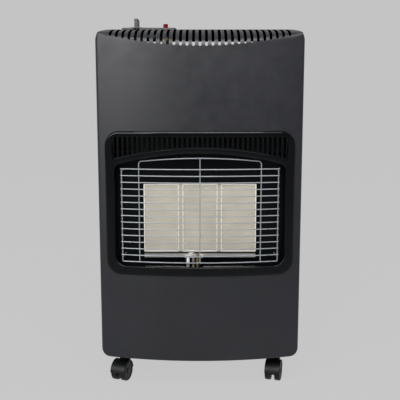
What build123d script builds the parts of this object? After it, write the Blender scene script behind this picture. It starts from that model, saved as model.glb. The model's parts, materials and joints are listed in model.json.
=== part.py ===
from build123d import *
import math
import os

# Portable cabinet gas heater with three ceramic-plaque burners. Millimetres, +Z up, front towards -Y.
# The origin is on the floor, at the centre of the outer box.

# ---- cabinet ----
WIDTH = 422.0            # over the side panels
Z_LOW = 65.0             # underside of the cabinet
Z_CREST = 758.0          # flat top
Y_FACE = -196.0          # middle of the bowed front
Y_SEAM = -100.0          # where the front panel ends and the sides and top begin
Y_REAR = 150.0           # rear edge of the sides and top
BOW_R = 740.0            # plan radius of the front
CORNER_R = 18.0          # lower corners of the front outline
TOP_R = 28.0             # upper corners
EDGE_R = 8.0             # rolled edge round the front face
SHEET = 1.2              # cabinet steel
GAP = 0.3                # open seam between two parts
# shoulder between front and top: distance behind the face, drop below the crest
SHOULDER = [(-14.0, 44.0), (3.0, 29.0), (23.0, 16.0), (60.0, 5.6), (100.0, -0.4)]
SHOULDER_ROLL = 12.0     # radius of the crease between face and shoulder

# ---- outlet grille in the shoulder ----
GRILLE_PITCH = 12.8
GRILLE_MARGIN = 28.0     # plain sheet beyond the outer slots
GRILLE_HALF = int((WIDTH / 2 - GRILLE_MARGIN) / GRILLE_PITCH)
GRILLE_SLOT = 5.8
GRILLE_DROP = 41.9       # slot bottoms below the crest, in the middle
GRILLE_ARC_R = 746.0
GRILLE_DEPTH = 84.0      # how far back the slots run

# ---- burner surround ----
SUR_W = WIDTH - 2 * 16.0
SUR_Z0, SUR_Z1 = 251.5, 549.5
SUR_R = 30.0
SUR_PROUD = 4.0
SUR_SHEET = 1.4
OPEN_W, OPEN_Z0 = SUR_W - 2 * 19.5, 271.0
OPEN_ARC_Z, OPEN_ARC_R = 505.0, 603.0
OPEN_LOW_R, OPEN_TOP_R = 22.0, 16.0
Y_LIP = -168.0           # rear edge of the surround's inner lip
RECESS_DEPTH = 3.0
RECESS_W, RECESS_TOP, RECESS_R = SUR_W - 2 * 14.0, 541.7, 16.0
LOUVRE_PITCH = 10.15
LOUVRE_MARGIN = 8.0      # least distance of a louvre's middle from the end of the recess
LOUVRE_HALF = int((RECESS_W / 2 - LOUVRE_MARGIN) / LOUVRE_PITCH)
LOUVRE_SLOT = 5.6
LOUVRE_TOP = RECESS_TOP - 3.4
LOUVRE_ARC_Z, LOUVRE_ARC_R = 517.6, 666.0
WINDOW_LAP = 5.5         # how far the surround covers the front panel round its window

# ---- burners ----
PLAQUE_W, PLAQUE_H, PLAQUE_T = 71.0, 141.5, 13.0
BURNER_PITCH = 81.5
BURNER_Z = 364.8         # plaque centre
Y_PLAQUE = -146.0        # radiating face
FRAME_WALL = 1.2
FRAME_FIT = 0.3          # play between plaque and frame
FRAME_LIP = 2.2          # face width of a plaque frame
FRAME_FRONT = 1.5        # frame front ahead of the plaque
PLENUM_DEPTH, PLENUM_WALL = 20.0, 1.0
VENTURI_R, VENTURI_Z = 9.0, 262.0
VENTURI_Y = -123.0
BOX_SHEET = 0.8
Y_BOX_BACK = -134.0
Y_SHIELD = -110.0
SHIELD_TOP = Z_CREST - 78.0
SHIELD_SHEET = 0.8
RAIL_STRIP = (BURNER_PITCH + 36.5, 281.0, 288.5, -150.0)
MANIFOLD_X = (-BURNER_PITCH - 68.5, BURNER_PITCH + 20.5)
MANIFOLD_Z, MANIFOLD_SIDE = VENTURI_Z - 22.0, 12.0
PILOT_Y, PILOT_PLATE_Z = -159.0, OPEN_Z0 + 12.0
SENSOR_Z0 = OPEN_Z0 - 9.0        # lower ends of the electrode and the thermocouple
SPARK_X, COUPLE_X, PILOT_X = -25.2, -13.6, -5.2
SPARK_R, COUPLE_R, PILOT_R = 3.4, 2.4, 3.0

# ---- wire guard ----
WIRE_R = 1.35
WIRE_COUNT = 15
WIRE_TOP, WIRE_BOTTOM = 473.2, 281.4
WIRE_Y = Y_FACE + 3.0    # middle of the lateral wires
GUARD_HALF = OPEN_W / 2 - 14.5
LOOP_HALF = GUARD_HALF - 37.0
LOOP_TOP, LOOP_CORNER, LOOP_BEND = 495.5, 489.0, 7.0
LEG_Z = (287.5, 468.0)   # legs from the side wires to the back of the box
LEG_FIT = 0.15

# ---- controls, on the left of the top ----
KNOB_X, KNOB_Y = 77.0 - WIDTH / 2, -81.0
BUTTON_X, BUTTON_Y = KNOB_X + 61.2, -84.0
BEZEL = (KNOB_X - 31.0, BUTTON_X + 22.8, KNOB_Y - 18.0, KNOB_Y + 35.0)
BEZEL_H = 4.4
KNOB_R, KNOB_SKIRT = 18.0, 1.8
KNOB_TOP = Z_CREST + 23.0
KNOB_GRIP_W = 8.2
KNOB_PRESS = 3.0
KNOB_CLEAR = 0.5         # between the pressed knob and the top
BUTTON_R, BUTTON_PROUD = 4.9, 13.0
BUTTON_TOP = Z_CREST + BUTTON_PROUD
BUTTON_PRESS = 6.0
BUTTON_LENGTH = 34.0
SPINDLE_R, SPINDLE_SQUARE = 4.0, 5.0
SPINDLE_TIP_R, SPINDLE_TIP = 2.6, 10.0
PLUG_R = 7.0
VALVE_NECK_R = 9.0
VALVE_Z0, VALVE_Z1 = Z_CREST - 44.0, Z_CREST - 6.0
MAGNET_R, MAGNET_X, MAGNET_Z = 7.6, KNOB_X + 44.0, VALVE_Z1 - 5.0
PIEZO_R, PIEZO_Z0 = 8.0, Z_CREST - 42.0
PIEZO_NUT_Z = (Z_CREST - 20.5, Z_CREST - 16.0)
HOSE_R, HOSE_LENGTH = 4.6, 26.0
RUN = 0.05               # radial clearance of a shaft that turns or slides

# ---- casters ----
CASTER_X = WIDTH / 2 - 44.0
CASTER_Y = (-117.0, 118.0)
CASTER_YAW = {"fl": -20.0, "fr": -15.0, "rl": 152.0, "rr": 28.0}
CASTER_TRAIL = 17.0
WHEEL_R, WHEEL_W, WHEEL_GAP = 21.5, 12.6, 8.4
WEB_R = 11.0             # plate between the wheels, below the axle
HOOD_R = 24.0
STEM_R = 5.0
AXLE_R = 3.0
SOCKET_R, SOCKET_UP = 9.0, 28.0

# ---- seams, tray and rear ----
SCREW_R = 1.9
SEAM_SCREW_Y = Y_SEAM - 7.0
SEAM_SCREW_Z = (Z_LOW + 85.0, Z_LOW + 345.0, Z_CREST - 68.0)
TONGUE = 14.0            # lap of the hidden joggled edges
FOOT = 12.0
REAR_FLANGE = 14.0
TRAY_X = WIDTH / 2 - 23.0
TRAY_Y0, TRAY_WALL, TRAY_SHEET = -157.0, 22.0, 1.5
BAY_HALF = TRAY_X - 32.0          # half width of the way in for the cylinder
CYLINDER_R = BAY_HALF - 6.0
CYLINDER_Y = 44.0
RAIL_Z = (Z_CREST - 68.0, Z_CREST - 42.0)
COVER_W = WIDTH - 2 * 6.0
COVER_Z0, COVER_Z1 = Z_LOW - 5.0, RAIL_Z[0] + 10.0
COVER_R, COVER_EDGE_R = 22.0, 14.0
COVER_LIP = 12.0                  # border turned in against the cabinet
Y_COVER = 200.0
COVER_ROWS, COVER_ROW_PITCH, COVER_ROW_START = 6, 26.0, 70.0
COVER_COLUMN_PITCH = 96.0
COVER_SLOT_L, COVER_SLOT_W = 64.0, 5.0
HAND_SLOT_L, HAND_SLOT_W, HAND_SLOT_DROP = 96.0, 22.0, 40.0
COVER_CLIP_Z = (COVER_Z0 + 120.0, COVER_Z1 - 60.0)
COVER_TONGUE_X = (-BAY_HALF - 16.0, BAY_HALF + 16.0)
COVER_TONGUE_W = 20.0
TONGUE_Z = Z_LOW + 14.0

# ---- pipes and leads: each runs down the left side, at its own distance from the cabinet's edge ----
FEED_X, PILOT_PIPE_X, COUPLE_LEAD_X, SPARK_LEAD_X = [inset - WIDTH / 2 for inset in (19.0, 9.0, 33.0, 28.0)]
COUPLE_TURN_X = MAGNET_X + 4.4
FEED_Z, PILOT_PIPE_Z, COUPLE_LEAD_Z, SPARK_LEAD_Z = [VALVE_Z0 - drop for drop in (24.0, 3.0, 8.0, 13.0)]
FEED = [(KNOB_X, KNOB_Y, VALVE_Z0), (KNOB_X, KNOB_Y, FEED_Z), (KNOB_X, VENTURI_Y, FEED_Z),
        (FEED_X, VENTURI_Y, FEED_Z), (FEED_X, VENTURI_Y, MANIFOLD_Z), (MANIFOLD_X[0], VENTURI_Y, MANIFOLD_Z)]
PILOT_PIPE = [(KNOB_X - 9, -95, VALVE_Z0 + 8), (KNOB_X - 9, -117, VALVE_Z0 + 8),
              (KNOB_X - 9, -117, PILOT_PIPE_Z), (PILOT_PIPE_X, -117, PILOT_PIPE_Z),
              (PILOT_PIPE_X, -117, OPEN_Z0 - 13), (PILOT_PIPE_X, -145, OPEN_Z0 - 13),
              (PILOT_X, -145, OPEN_Z0 - 13), (PILOT_X, PILOT_Y, OPEN_Z0 - 13), (PILOT_X, PILOT_Y, OPEN_Z0 - 3)]
COUPLE_LEAD = [(MAGNET_X, KNOB_Y, MAGNET_Z), (COUPLE_TURN_X, KNOB_Y, MAGNET_Z),
               (COUPLE_TURN_X, KNOB_Y, COUPLE_LEAD_Z), (COUPLE_TURN_X, -113, COUPLE_LEAD_Z),
               (COUPLE_LEAD_X, -113, COUPLE_LEAD_Z), (COUPLE_LEAD_X, -113, OPEN_Z0 - 24),
               (COUPLE_LEAD_X, -150, OPEN_Z0 - 24), (COUPLE_X, -150, OPEN_Z0 - 24),
               (COUPLE_X, PILOT_Y, OPEN_Z0 - 24), (COUPLE_X, PILOT_Y, SENSOR_Z0)]
SPARK_LEAD = [(BUTTON_X, BUTTON_Y, PIEZO_Z0), (BUTTON_X, BUTTON_Y, SPARK_LEAD_Z),
              (BUTTON_X, -118, SPARK_LEAD_Z), (SPARK_LEAD_X, -118, SPARK_LEAD_Z),
              (SPARK_LEAD_X, -118, OPEN_Z0 - 19), (SPARK_LEAD_X, -138, OPEN_Z0 - 19),
              (SPARK_X, -138, OPEN_Z0 - 19), (SPARK_X, PILOT_Y, OPEN_Z0 - 19), (SPARK_X, PILOT_Y, SENSOR_Z0)]


def caster_points():
    return [(side * CASTER_X, y) for y in CASTER_Y for side in (-1, 1)]


def block(x0, x1, y0, y1, z0, z1):
    return Pos((x0 + x1) / 2, (y0 + y1) / 2, (z0 + z1) / 2) * Box(x1 - x0, y1 - y0, z1 - z0)


def prism_y(sketch, y0, y1):
    """Extrude a front-elevation sketch, drawn in x and z, from y0 to y1."""
    return extrude(Plane.XZ.offset(-y1) * sketch, amount=y1 - y0)


def prism_x(sketch, x0, x1):
    """Extrude a side-elevation sketch, drawn in y and z, from x0 to x1."""
    return extrude(Plane.YZ.offset(x0) * sketch, amount=x1 - x0)


def prism_z(sketch, z0, z1):
    return extrude(Pos(0, 0, z0) * sketch, amount=z1 - z0)


def rod(start, end, radius):
    """Round bar between two points."""
    a, b = Vector(*start), Vector(*end)
    plane = Plane(origin=a, z_dir=b - a)
    return extrude(plane * Circle(radius), amount=(b - a).length)


def pipe(points, radius, bend, bore=0.0):
    """Bent tube through the corner points, rounded by the bend radius."""
    path = FilletPolyline(*points, radius=bend)
    section = Circle(radius) - Circle(bore) if bore else Circle(radius)
    return sweep(Plane(origin=path @ 0, z_dir=path % 0) * section, path=path)


def bow_disc(proud):
    """Upright cylinder whose front is the bowed face, moved out by proud."""
    return Pos(0, Y_FACE + BOW_R, Z_CREST / 2) * Cylinder(BOW_R + proud, 2 * Z_CREST)


def bow_y(x, proud=0.0):
    """Y of the bowed face at x."""
    return Y_FACE + BOW_R - math.sqrt((BOW_R + proud) ** 2 - x * x)


def save(shape, node):
    export_step(shape, "parts/" + node + ".step")


def outline(inset):
    """Front elevation of the cabinet."""
    height = Z_CREST - Z_LOW - 2 * inset
    sketch = Pos(0, (Z_CREST + Z_LOW) / 2) * Rectangle(WIDTH - 2 * inset, height)
    sketch = fillet(sketch.vertices().sort_by(Axis.Y)[:2], CORNER_R - inset)
    return fillet(sketch.vertices().sort_by(Axis.Y)[-2:], TOP_R - inset)


def shoulder_prism(inset):
    """Everything below the sloping shoulder, as a prism across the cabinet."""
    drop = 1.15 * inset
    points = [(Y_FACE + d, Z_CREST - h - drop) for d, h in SHOULDER]
    top = Spline(*points, tangents=[(1.0, 1.0), (1.0, 0.03)])
    far = Y_REAR + 20
    rest = Polyline(points[-1], (far, points[-1][1]), (far, 0), (points[0][0], 0), points[0])
    return prism_x(make_face(Curve() + [top, rest]), -WIDTH, WIDTH)


def front_form(inset, y_back):
    """Solid form of the bowed front, inset from its outer skin."""
    form = prism_y(outline(inset), Y_FACE - 20, y_back) & bow_disc(-inset)
    face = form.faces().sort_by(Axis.Y)[0]
    form = fillet(face.edges(), EDGE_R - inset)
    bowed = shoulder_prism(inset) & bow_disc(-inset)
    crease = bowed.edges().filter_by(GeomType.BSPLINE).sort_by(Edge.length)[-1]
    return form & fillet(crease, SHOULDER_ROLL - inset)


def surround_opening(grow=0.0):
    """Arched burner opening in front elevation."""
    tall = 2 * (OPEN_ARC_Z - OPEN_Z0)
    rect = Pos(0, OPEN_Z0 + tall / 2) * RectangleRounded(OPEN_W, tall, OPEN_LOW_R)
    shape = rect & (Pos(0, OPEN_ARC_Z - OPEN_ARC_R) * Circle(OPEN_ARC_R))
    shape = fillet(shape.vertices().sort_by(Axis.Y)[-2:], OPEN_TOP_R)
    return offset(shape, grow) if grow else shape


def grille_slot(index):
    """Cutter for one outlet slot, with a rounded lower end."""
    x = index * GRILLE_PITCH
    low = Z_CREST - GRILLE_DROP + GRILLE_ARC_R - math.sqrt(GRILLE_ARC_R**2 - x * x)
    r = GRILLE_SLOT / 2
    y0, y1 = Y_FACE - 20, Y_FACE + GRILLE_DEPTH
    slot = block(x - r, x + r, y0, y1, low + r, Z_CREST + 20)
    return slot + prism_y(Pos(x, low + r) * Circle(r), y0, y1)


def front_panel():
    """Pressed front with its shoulder, outlet grille, burner window and turned-in rear edge."""
    shell = front_form(0, Y_SEAM) - front_form(SHEET, Y_SEAM + 10)
    lap = WINDOW_LAP
    window = Pos(0, (SUR_Z0 + SUR_Z1) / 2) * RectangleRounded(
        SUR_W - 2 * lap, SUR_Z1 - SUR_Z0 - 2 * lap, SUR_R - lap)
    cuts = [grille_slot(i) for i in range(-GRILLE_HALF, GRILLE_HALF + 1)]
    cuts.append(prism_y(window, Y_FACE - 20, Y_SEAM - 40))
    x0, x1 = WIDTH / 2 - 5, WIDTH / 2 + 5
    cuts += [rod((side * x0, SEAM_SCREW_Y, z), (side * x1, SEAM_SCREW_Y, z), SCREW_R + 0.2)
             for side in (-1, 1) for z in SEAM_SCREW_Z]
    cuts += [rod((x, y, Z_LOW - 5), (x, y, Z_LOW + 5), SOCKET_R + 0.1) for x, y in caster_points()]
    return shell - cuts


def side_panel(side):
    """Flat side with a joggled tongue under the front panel and a turned-in foot and rear edge."""
    outer = WIDTH / 2
    y0 = Y_SEAM + GAP
    z0, z1 = Z_LOW + CORNER_R, Z_CREST - TOP_R
    inner = outer - SHEET - 0.1
    plan = Polyline(
        (outer, y0), (outer, Y_REAR), (outer - REAR_FLANGE, Y_REAR), (outer - REAR_FLANGE, Y_REAR - SHEET),
        (outer - SHEET, Y_REAR - SHEET), (outer - SHEET, y0 + 4), (inner - SHEET, y0 + 2),
        (inner - SHEET, Y_SEAM - TONGUE), (inner, Y_SEAM - TONGUE), (inner, y0), close=True)
    panel = prism_z(make_face(plan), z0, z1 - GAP)
    centre = (outer - CORNER_R, z0)
    corner = Pos(*centre) * (Circle(CORNER_R) - Circle(CORNER_R - SHEET))
    quarter = Pos(centre[0] + CORNER_R / 2, centre[1] - CORNER_R / 2) * Rectangle(CORNER_R, CORNER_R)
    corner = corner & quarter
    foot = corner + Pos(centre[0] - FOOT / 2, Z_LOW + SHEET / 2) * Rectangle(FOOT, SHEET)
    panel += prism_y(foot, y0, Y_REAR)
    panel -= [rod((inner - 5, SEAM_SCREW_Y, z), (outer + 5, SEAM_SCREW_Y, z), SCREW_R + 0.2)
              for z in SEAM_SCREW_Z]
    panel -= [rod((outer - REAR_FLANGE / 2, Y_REAR - 5, z), (outer - REAR_FLANGE / 2, Y_REAR + 5, z), 2.4)
              for z in COVER_CLIP_Z]
    return panel if side > 0 else mirror(panel, Plane.YZ)


def top_panel():
    """Flat top with rounded long edges, open to the rear, with holes for the two controls."""
    y0 = Y_SEAM + GAP
    outer = outline(0) - outline(SHEET)
    cap = outer & Pos(0, Z_CREST) * Rectangle(WIDTH + 10, 2 * TOP_R)
    panel = prism_y(cap, y0, Y_REAR)
    inner = WIDTH / 2 - SHEET
    z1 = Z_CREST - TOP_R
    for side in (-1, 1):
        x0, x1 = sorted((side * (inner - 0.1), side * (inner - 0.1 - SHEET)))
        panel += block(x0, x1, y0 + 8, Y_REAR - 16, z1 - TONGUE, z1 + 1)
        x2, x3 = sorted((x0 if side > 0 else x1, side * (inner + 0.6)))
        panel += block(x2, x3, y0 + 8, Y_REAR - 16, z1, z1 + 1)
    panel -= rod((KNOB_X, KNOB_Y, Z_CREST - 5), (KNOB_X, KNOB_Y, Z_CREST + 5), VALVE_NECK_R + 0.3)
    panel -= rod((BUTTON_X, BUTTON_Y, Z_CREST - 5), (BUTTON_X, BUTTON_Y, Z_CREST + 5), PIEZO_R + 0.3)
    return panel


def base_tray():
    """Tray with side and front upstands, a locating bead for the cylinder and four caster holes."""
    z0, t = Z_LOW + SHEET, TRAY_SHEET
    x1, y0, y1 = TRAY_X, TRAY_Y0, Y_REAR - 2
    tray = block(-x1, x1, y0, y1, z0, z0 + TRAY_WALL)
    tray -= block(-x1 + t, x1 - t, y0 + t, y1 - t, z0 + t, z0 + TRAY_WALL + 1)
    tray -= block(-BAY_HALF, BAY_HALF, y1 - 5, y1 + 5, z0 + t, z0 + TRAY_WALL + 1)
    bead = Pos(0, CYLINDER_Y, z0 + t) * Torus(CYLINDER_R + 6, 2.0)
    tray += bead & block(-BAY_HALF - 4, BAY_HALF + 4, y0 + t, y1 - t, z0 + t / 2, z0 + 5)
    for x, y in caster_points():
        tray -= rod((x, y, z0 - 5), (x, y, z0 + 10), SOCKET_R + 0.1)
    reach = COVER_TONGUE_W / 2 + 1
    for x in COVER_TONGUE_X:
        tray -= block(x - reach, x + reach, y1 - 5, y1 + 5, TONGUE_Z - 1.2, TONGUE_Z + 1.2)
    return tray


def heat_shield():
    """Sheet between the burner space and the cylinder bay, with edges turned to the rear."""
    t = SHIELD_SHEET
    x1 = WIDTH / 2 - 2 * SHEET - 2.4
    z0 = Z_LOW + SOCKET_UP + 2
    box = block(-x1, x1, Y_SHIELD, Y_SHIELD + 4, z0, SHIELD_TOP)
    for side in (-1, 1):
        xa, xb = sorted((side * x1, side * (x1 - 2)))
        box += block(xa, xb, Y_SHIELD, Y_SHIELD + 9, z0, SHIELD_TOP)
    hollow = block(-x1 + t, x1 - t, Y_SHIELD + t, Y_SHIELD + 20, z0 - 1, SHIELD_TOP - t)
    return box - hollow


def rear_rail():
    """Channel across the back that the rear cover stands against."""
    x1 = WIDTH / 2 - SHEET - 0.2
    z0, z1 = RAIL_Z
    rail = block(-x1, x1, Y_REAR - 18, Y_REAR - SHEET - 0.1, z0, z1)
    return rail - block(-x1 - 1, x1 + 1, Y_REAR - 20, Y_REAR - 2 * SHEET - 0.1, z0 + SHEET, z1 - SHEET)


def rear_cover():
    """Deep pressed cover with louvre slots, a hand slot, tongues below and studs above."""
    y0, y1 = Y_REAR + GAP, Y_COVER
    z0, z1 = COVER_Z0, COVER_Z1
    mid = (z0 + z1) / 2

    def rounded(inset, radius):
        return Pos(0, mid) * RectangleRounded(COVER_W - 2 * inset, z1 - z0 - 2 * inset, radius)

    tray = prism_y(rounded(0, COVER_R), y0, y1)
    tray = fillet(tray.faces().sort_by(Axis.Y)[-1].edges(), COVER_EDGE_R)
    hollow = prism_y(rounded(SHEET, COVER_R - SHEET), y0 - 10, y1 - SHEET)
    hollow = fillet(hollow.faces().sort_by(Axis.Y)[-1].edges(), COVER_EDGE_R - SHEET)
    cover = tray - hollow
    ring = rounded(0, COVER_R) - rounded(COVER_LIP, COVER_LIP)
    ring -= Pos(0, z0) * Rectangle(2 * BAY_HALF, 5 * COVER_LIP)
    cover += prism_y(ring, y0, y0 + SHEET)
    slot = SlotOverall(COVER_SLOT_L, COVER_SLOT_W)
    for row in range(COVER_ROWS):
        rise = COVER_ROW_START + row * COVER_ROW_PITCH
        for col in (-1, 0, 1):
            for z in (z0 + rise, z1 - rise):
                cover -= prism_y(Pos(col * COVER_COLUMN_PITCH, z) * slot, y1 - 20, y1 + 5)
    cover -= prism_y(Pos(0, z1 - HAND_SLOT_DROP) * SlotOverall(HAND_SLOT_L, HAND_SLOT_W), y1 - 20, y1 + 5)
    half = COVER_TONGUE_W / 2
    for x in COVER_TONGUE_X:
        cover += block(x - half, x + half, Y_REAR - 12, y0 + 1, TONGUE_Z - 0.6, TONGUE_Z + 0.6)
    for side in (-1, 1):
        x = side * (WIDTH / 2 - REAR_FLANGE / 2)
        for z in COVER_CLIP_Z:
            cover += rod((x, Y_REAR - 8, z), (x, y0 + 0.5, z), 2.0)
    return cover


def cabinet_screws():
    """Pan-head screws that hold the front panel to the sides."""
    group = []
    for side in (-1, 1):
        for z in SEAM_SCREW_Z:
            x, y = side * WIDTH / 2, SEAM_SCREW_Y
            head = rod((x, y, z), (x + side * 2.0, y, z), 3.8)
            head = fillet(head.edges().sort_by(Axis.X)[-1 if side > 0 else 0], 1.2)
            shank = rod((x - side * 4.2, y, z), (x, y, z), SCREW_R)
            x0, x1 = sorted((x + side * 1.0, x + side * 3.0))
            group.append(head + shank - block(x0, x1, y - 0.5, y + 0.5, z - 2.4, z + 2.4))
    return Compound(children=group)


def burner_surround():
    """Pressed enamelled surround: raised rim, recessed louvres, rolled arch lip and bottom lip."""
    mid = (SUR_Z0 + SUR_Z1) / 2
    height = SUR_Z1 - SUR_Z0
    t = SUR_SHEET

    def pad(inset):
        sheet = RectangleRounded(SUR_W - 2 * inset, height - 2 * inset, SUR_R - inset)
        shape = prism_y(Pos(0, mid) * sheet, Y_FACE - 20, Y_FACE + 40)
        shape = shape & bow_disc(SUR_PROUD - inset)
        return fillet(shape.faces().sort_by(Axis.Y)[0].edges(), 3.4 - inset)

    opening = surround_opening()
    lip = prism_y(surround_opening(t) - opening, Y_FACE - 20, Y_LIP) & bow_disc(SUR_PROUD - t / 2)
    body = pad(0) - pad(t) - prism_y(opening, Y_FACE - 20, Y_FACE + 60)
    body -= Pos(0, Y_FACE + BOW_R, mid) * Cylinder(BOW_R + 0.02, 2 * height)
    field = Pos(0, mid) * RectangleRounded(RECESS_W, 2 * (RECESS_TOP - mid), RECESS_R)
    field = field - Pos(0, LOUVRE_ARC_Z - 2.5 - LOUVRE_ARC_R) * Circle(LOUVRE_ARC_R)
    field = field & Pos(0, mid + height / 2) * Rectangle(SUR_W, 150)
    outer_field = offset(field, t)
    body -= prism_y(field, Y_FACE - 20, Y_FACE + 60)
    wall = prism_y(outer_field - field, Y_FACE - 20, Y_FACE + 60) & bow_disc(SUR_PROUD - t / 2)
    wall -= bow_disc(SUR_PROUD - RECESS_DEPTH - t)
    floor = prism_y(field, Y_FACE - 20, Y_FACE + 60) & bow_disc(SUR_PROUD - RECESS_DEPTH)
    floor -= bow_disc(SUR_PROUD - RECESS_DEPTH - t)
    body = body + wall + floor + lip
    for i in range(-LOUVRE_HALF, LOUVRE_HALF + 1):
        x = i * LOUVRE_PITCH
        low = LOUVRE_ARC_Z - LOUVRE_ARC_R + math.sqrt(LOUVRE_ARC_R**2 - x * x)
        length = LOUVRE_TOP - low
        body -= prism_y(Pos(x, low + length / 2) * SlotOverall(length, LOUVRE_SLOT, rotation=90),
                        Y_FACE - 20, Y_FACE + 60)
    return body


def reflector_box():
    """Open-fronted combustion box behind the surround."""
    t = BOX_SHEET
    x1, z0, z1 = OPEN_W / 2, OPEN_Z0, OPEN_ARC_Z
    y0, y1 = Y_LIP + GAP, Y_BOX_BACK
    box = block(-x1 - t, x1 + t, y0, y1, z0 - t, z1 + t)
    box -= block(-x1, x1, y0 - 5, y1 - t, z0, z1)
    half_w = BURNER_PITCH + frame_w() / 2 + GAP
    half_h = frame_h() / 2 + GAP
    box -= block(-half_w, half_w, y1 - 5, y1 + 5, BURNER_Z - half_h, BURNER_Z + half_h)
    for x, r in ((SPARK_X, SPARK_R), (COUPLE_X, COUPLE_R), (PILOT_X, PILOT_R)):
        box -= rod((x, PILOT_Y, z0 - 5), (x, PILOT_Y, z0 + 5), r + GAP)
    for side in (-1, 1):
        x = side * guard_side_x()
        box -= [rod((x, y1 - 5, z), (x, y1 + 5, z), WIRE_R + LEG_FIT) for z in LEG_Z]
    return box


def frame_w():
    return PLAQUE_W + 2 * (FRAME_FIT + FRAME_WALL)


def frame_h():
    return PLAQUE_H + 2 * (FRAME_FIT + FRAME_WALL)


def plaque(index):
    """Ceramic radiant plaque."""
    x = index * BURNER_PITCH
    tile = block(x - PLAQUE_W / 2, x + PLAQUE_W / 2, Y_PLAQUE, Y_PLAQUE + PLAQUE_T,
                 BURNER_Z - PLAQUE_H / 2, BURNER_Z + PLAQUE_H / 2)
    return fillet(tile.edges().filter_by(Axis.Y), 1.0)


def plaque_frames():
    """Three thin frames that clamp the plaques at their faces, joined by two strips."""
    w, h = frame_w(), frame_h()
    y0, y1 = Y_PLAQUE - FRAME_FRONT, Y_PLAQUE + PLAQUE_T
    z0, z1 = BURNER_Z - h / 2, BURNER_Z + h / 2
    t, lip = FRAME_WALL, FRAME_LIP
    rims = []
    for index in (-1, 0, 1):
        x0, x1 = index * BURNER_PITCH - w / 2, index * BURNER_PITCH + w / 2
        rim = block(x0, x1, y0, y1, z0, z1)
        rim -= block(x0 + t, x1 - t, Y_PLAQUE - 0.2, y1 + 5, z0 + t, z1 - t)
        rims.append(rim - block(x0 + lip, x1 - lip, y0 - 5, y1 + 5, z0 + lip, z1 - lip))
    reach = (BURNER_PITCH - w) / 2 + t / 2
    strips = [block(x - reach, x + reach, Y_PLAQUE, Y_PLAQUE + 1, z0, z1)
              for x in (-BURNER_PITCH / 2, BURNER_PITCH / 2)]
    return rims[0] + rims[1:] + strips


def burner_plenum(index):
    """Gas-air box behind one plaque, with its mixing tube down to a bellmouth."""
    x = index * BURNER_PITCH
    w, h, t = frame_w(), frame_h(), PLENUM_WALL
    y0 = Y_PLAQUE + PLAQUE_T + 0.1
    y1 = y0 + PLENUM_DEPTH
    z0 = BURNER_Z - h / 2
    box = block(x - w / 2, x + w / 2, y0, y1, z0, z0 + h)
    box = fillet(box.faces().sort_by(Axis.Y)[-1].edges(), 5)
    box += rod((x, VENTURI_Y, VENTURI_Z), (x, VENTURI_Y, z0 + 2), VENTURI_R)
    box += Pos(x, VENTURI_Y, VENTURI_Z + 2) * Cylinder(VENTURI_R + 1.0, 4)
    hollow = block(x - w / 2 + t, x + w / 2 - t, y0 - 5, y1 - t, z0 + t, z0 + h - t)
    box -= fillet(hollow.faces().sort_by(Axis.Y)[-1].edges(), 5 - t)
    return box - rod((x, VENTURI_Y, VENTURI_Z - 5), (x, VENTURI_Y, z0 + 5), VENTURI_R - t)


def burner_rail():
    """Bright angle below the plaques."""
    half, z0, z1, y0 = RAIL_STRIP
    rail = block(-half, half, y0, y0 + 1, z0, z1)
    return rail + block(-half, half, y0, Y_BOX_BACK - BOX_SHEET - 0.1, z1 - 1, z1)


def guard_side_x():
    """Middle of the guard's side wires."""
    return GUARD_HALF - 2


def wire_guard():
    """Welded guard: bowed laterals in front of two side wires on legs, an arched loop and a middle wire."""
    def lateral(z, half):
        points = [(x, bow_y(x) + WIRE_Y - Y_FACE, z) for x in (-half, 0, half)]
        path = ThreePointArc(*points)
        return sweep(Plane(origin=path @ 0, z_dir=path % 0) * Circle(WIRE_R), path=path)

    def back_y(x):
        return bow_y(x) + WIRE_Y - Y_FACE + 2 * WIRE_R - 0.5

    step = (WIRE_TOP - WIRE_BOTTOM) / (WIRE_COUNT - 1)
    wires = []
    for i in range(WIRE_COUNT):
        half = GUARD_HALF if i else GUARD_HALF - 3
        wires.append(lateral(WIRE_BOTTOM + i * step, half))
    for side in (-1, 1):
        x, y = side * guard_side_x(), back_y(guard_side_x())
        wires.append(rod((x, y, WIRE_BOTTOM - 0.5), (x, y, WIRE_TOP + 0.5), WIRE_R))
        wires += [rod((x, y, z), (x, Y_BOX_BACK + 3, z), WIRE_R) for z in LEG_Z]
    wires.append(rod((0, back_y(0), WIRE_BOTTOM - 0.5), (0, back_y(0), LOOP_TOP), WIRE_R))
    half, foot = LOOP_HALF, back_y(LOOP_HALF)
    spring, corner = LOOP_CORNER - LOOP_BEND, half - LOOP_BEND
    arch = ThreePointArc((-corner, back_y(corner), LOOP_CORNER), (0, back_y(0), LOOP_TOP),
                         (corner, back_y(corner), LOOP_CORNER))
    rise = Line((-half, foot, WIRE_BOTTOM - 0.5), (-half, foot, spring))
    fall = Line((half, foot, spring), (half, foot, WIRE_BOTTOM - 0.5))
    bend_in = Spline(rise @ 1, arch @ 0, tangents=[rise % 1, arch % 0])
    bend_out = Spline(arch @ 1, fall @ 0, tangents=[arch % 1, fall % 0])
    loop = Wire([rise, bend_in, arch, bend_out, fall])
    wires.append(sweep(Plane(origin=rise @ 0, z_dir=rise % 0) * Circle(WIRE_R), path=loop))
    guard = wires[0]
    return guard + wires[1:]


def pilot_bracket():
    """Angle plate that carries the pilot, the thermocouple and the spark electrode."""
    z1 = PILOT_PLATE_Z + 1
    plate = block(-32, 7, PILOT_Y - 4, PILOT_Y + 7, PILOT_PLATE_Z, z1)
    plate += block(-32, 7, PILOT_Y + 6, PILOT_Y + 7, OPEN_Z0, z1)
    for x, r in ((SPARK_X, SPARK_R), (COUPLE_X, COUPLE_R), (PILOT_X, PILOT_R)):
        plate -= rod((x, PILOT_Y, PILOT_PLATE_Z - 5), (x, PILOT_Y, z1 + 5), r)
    return plate


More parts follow.
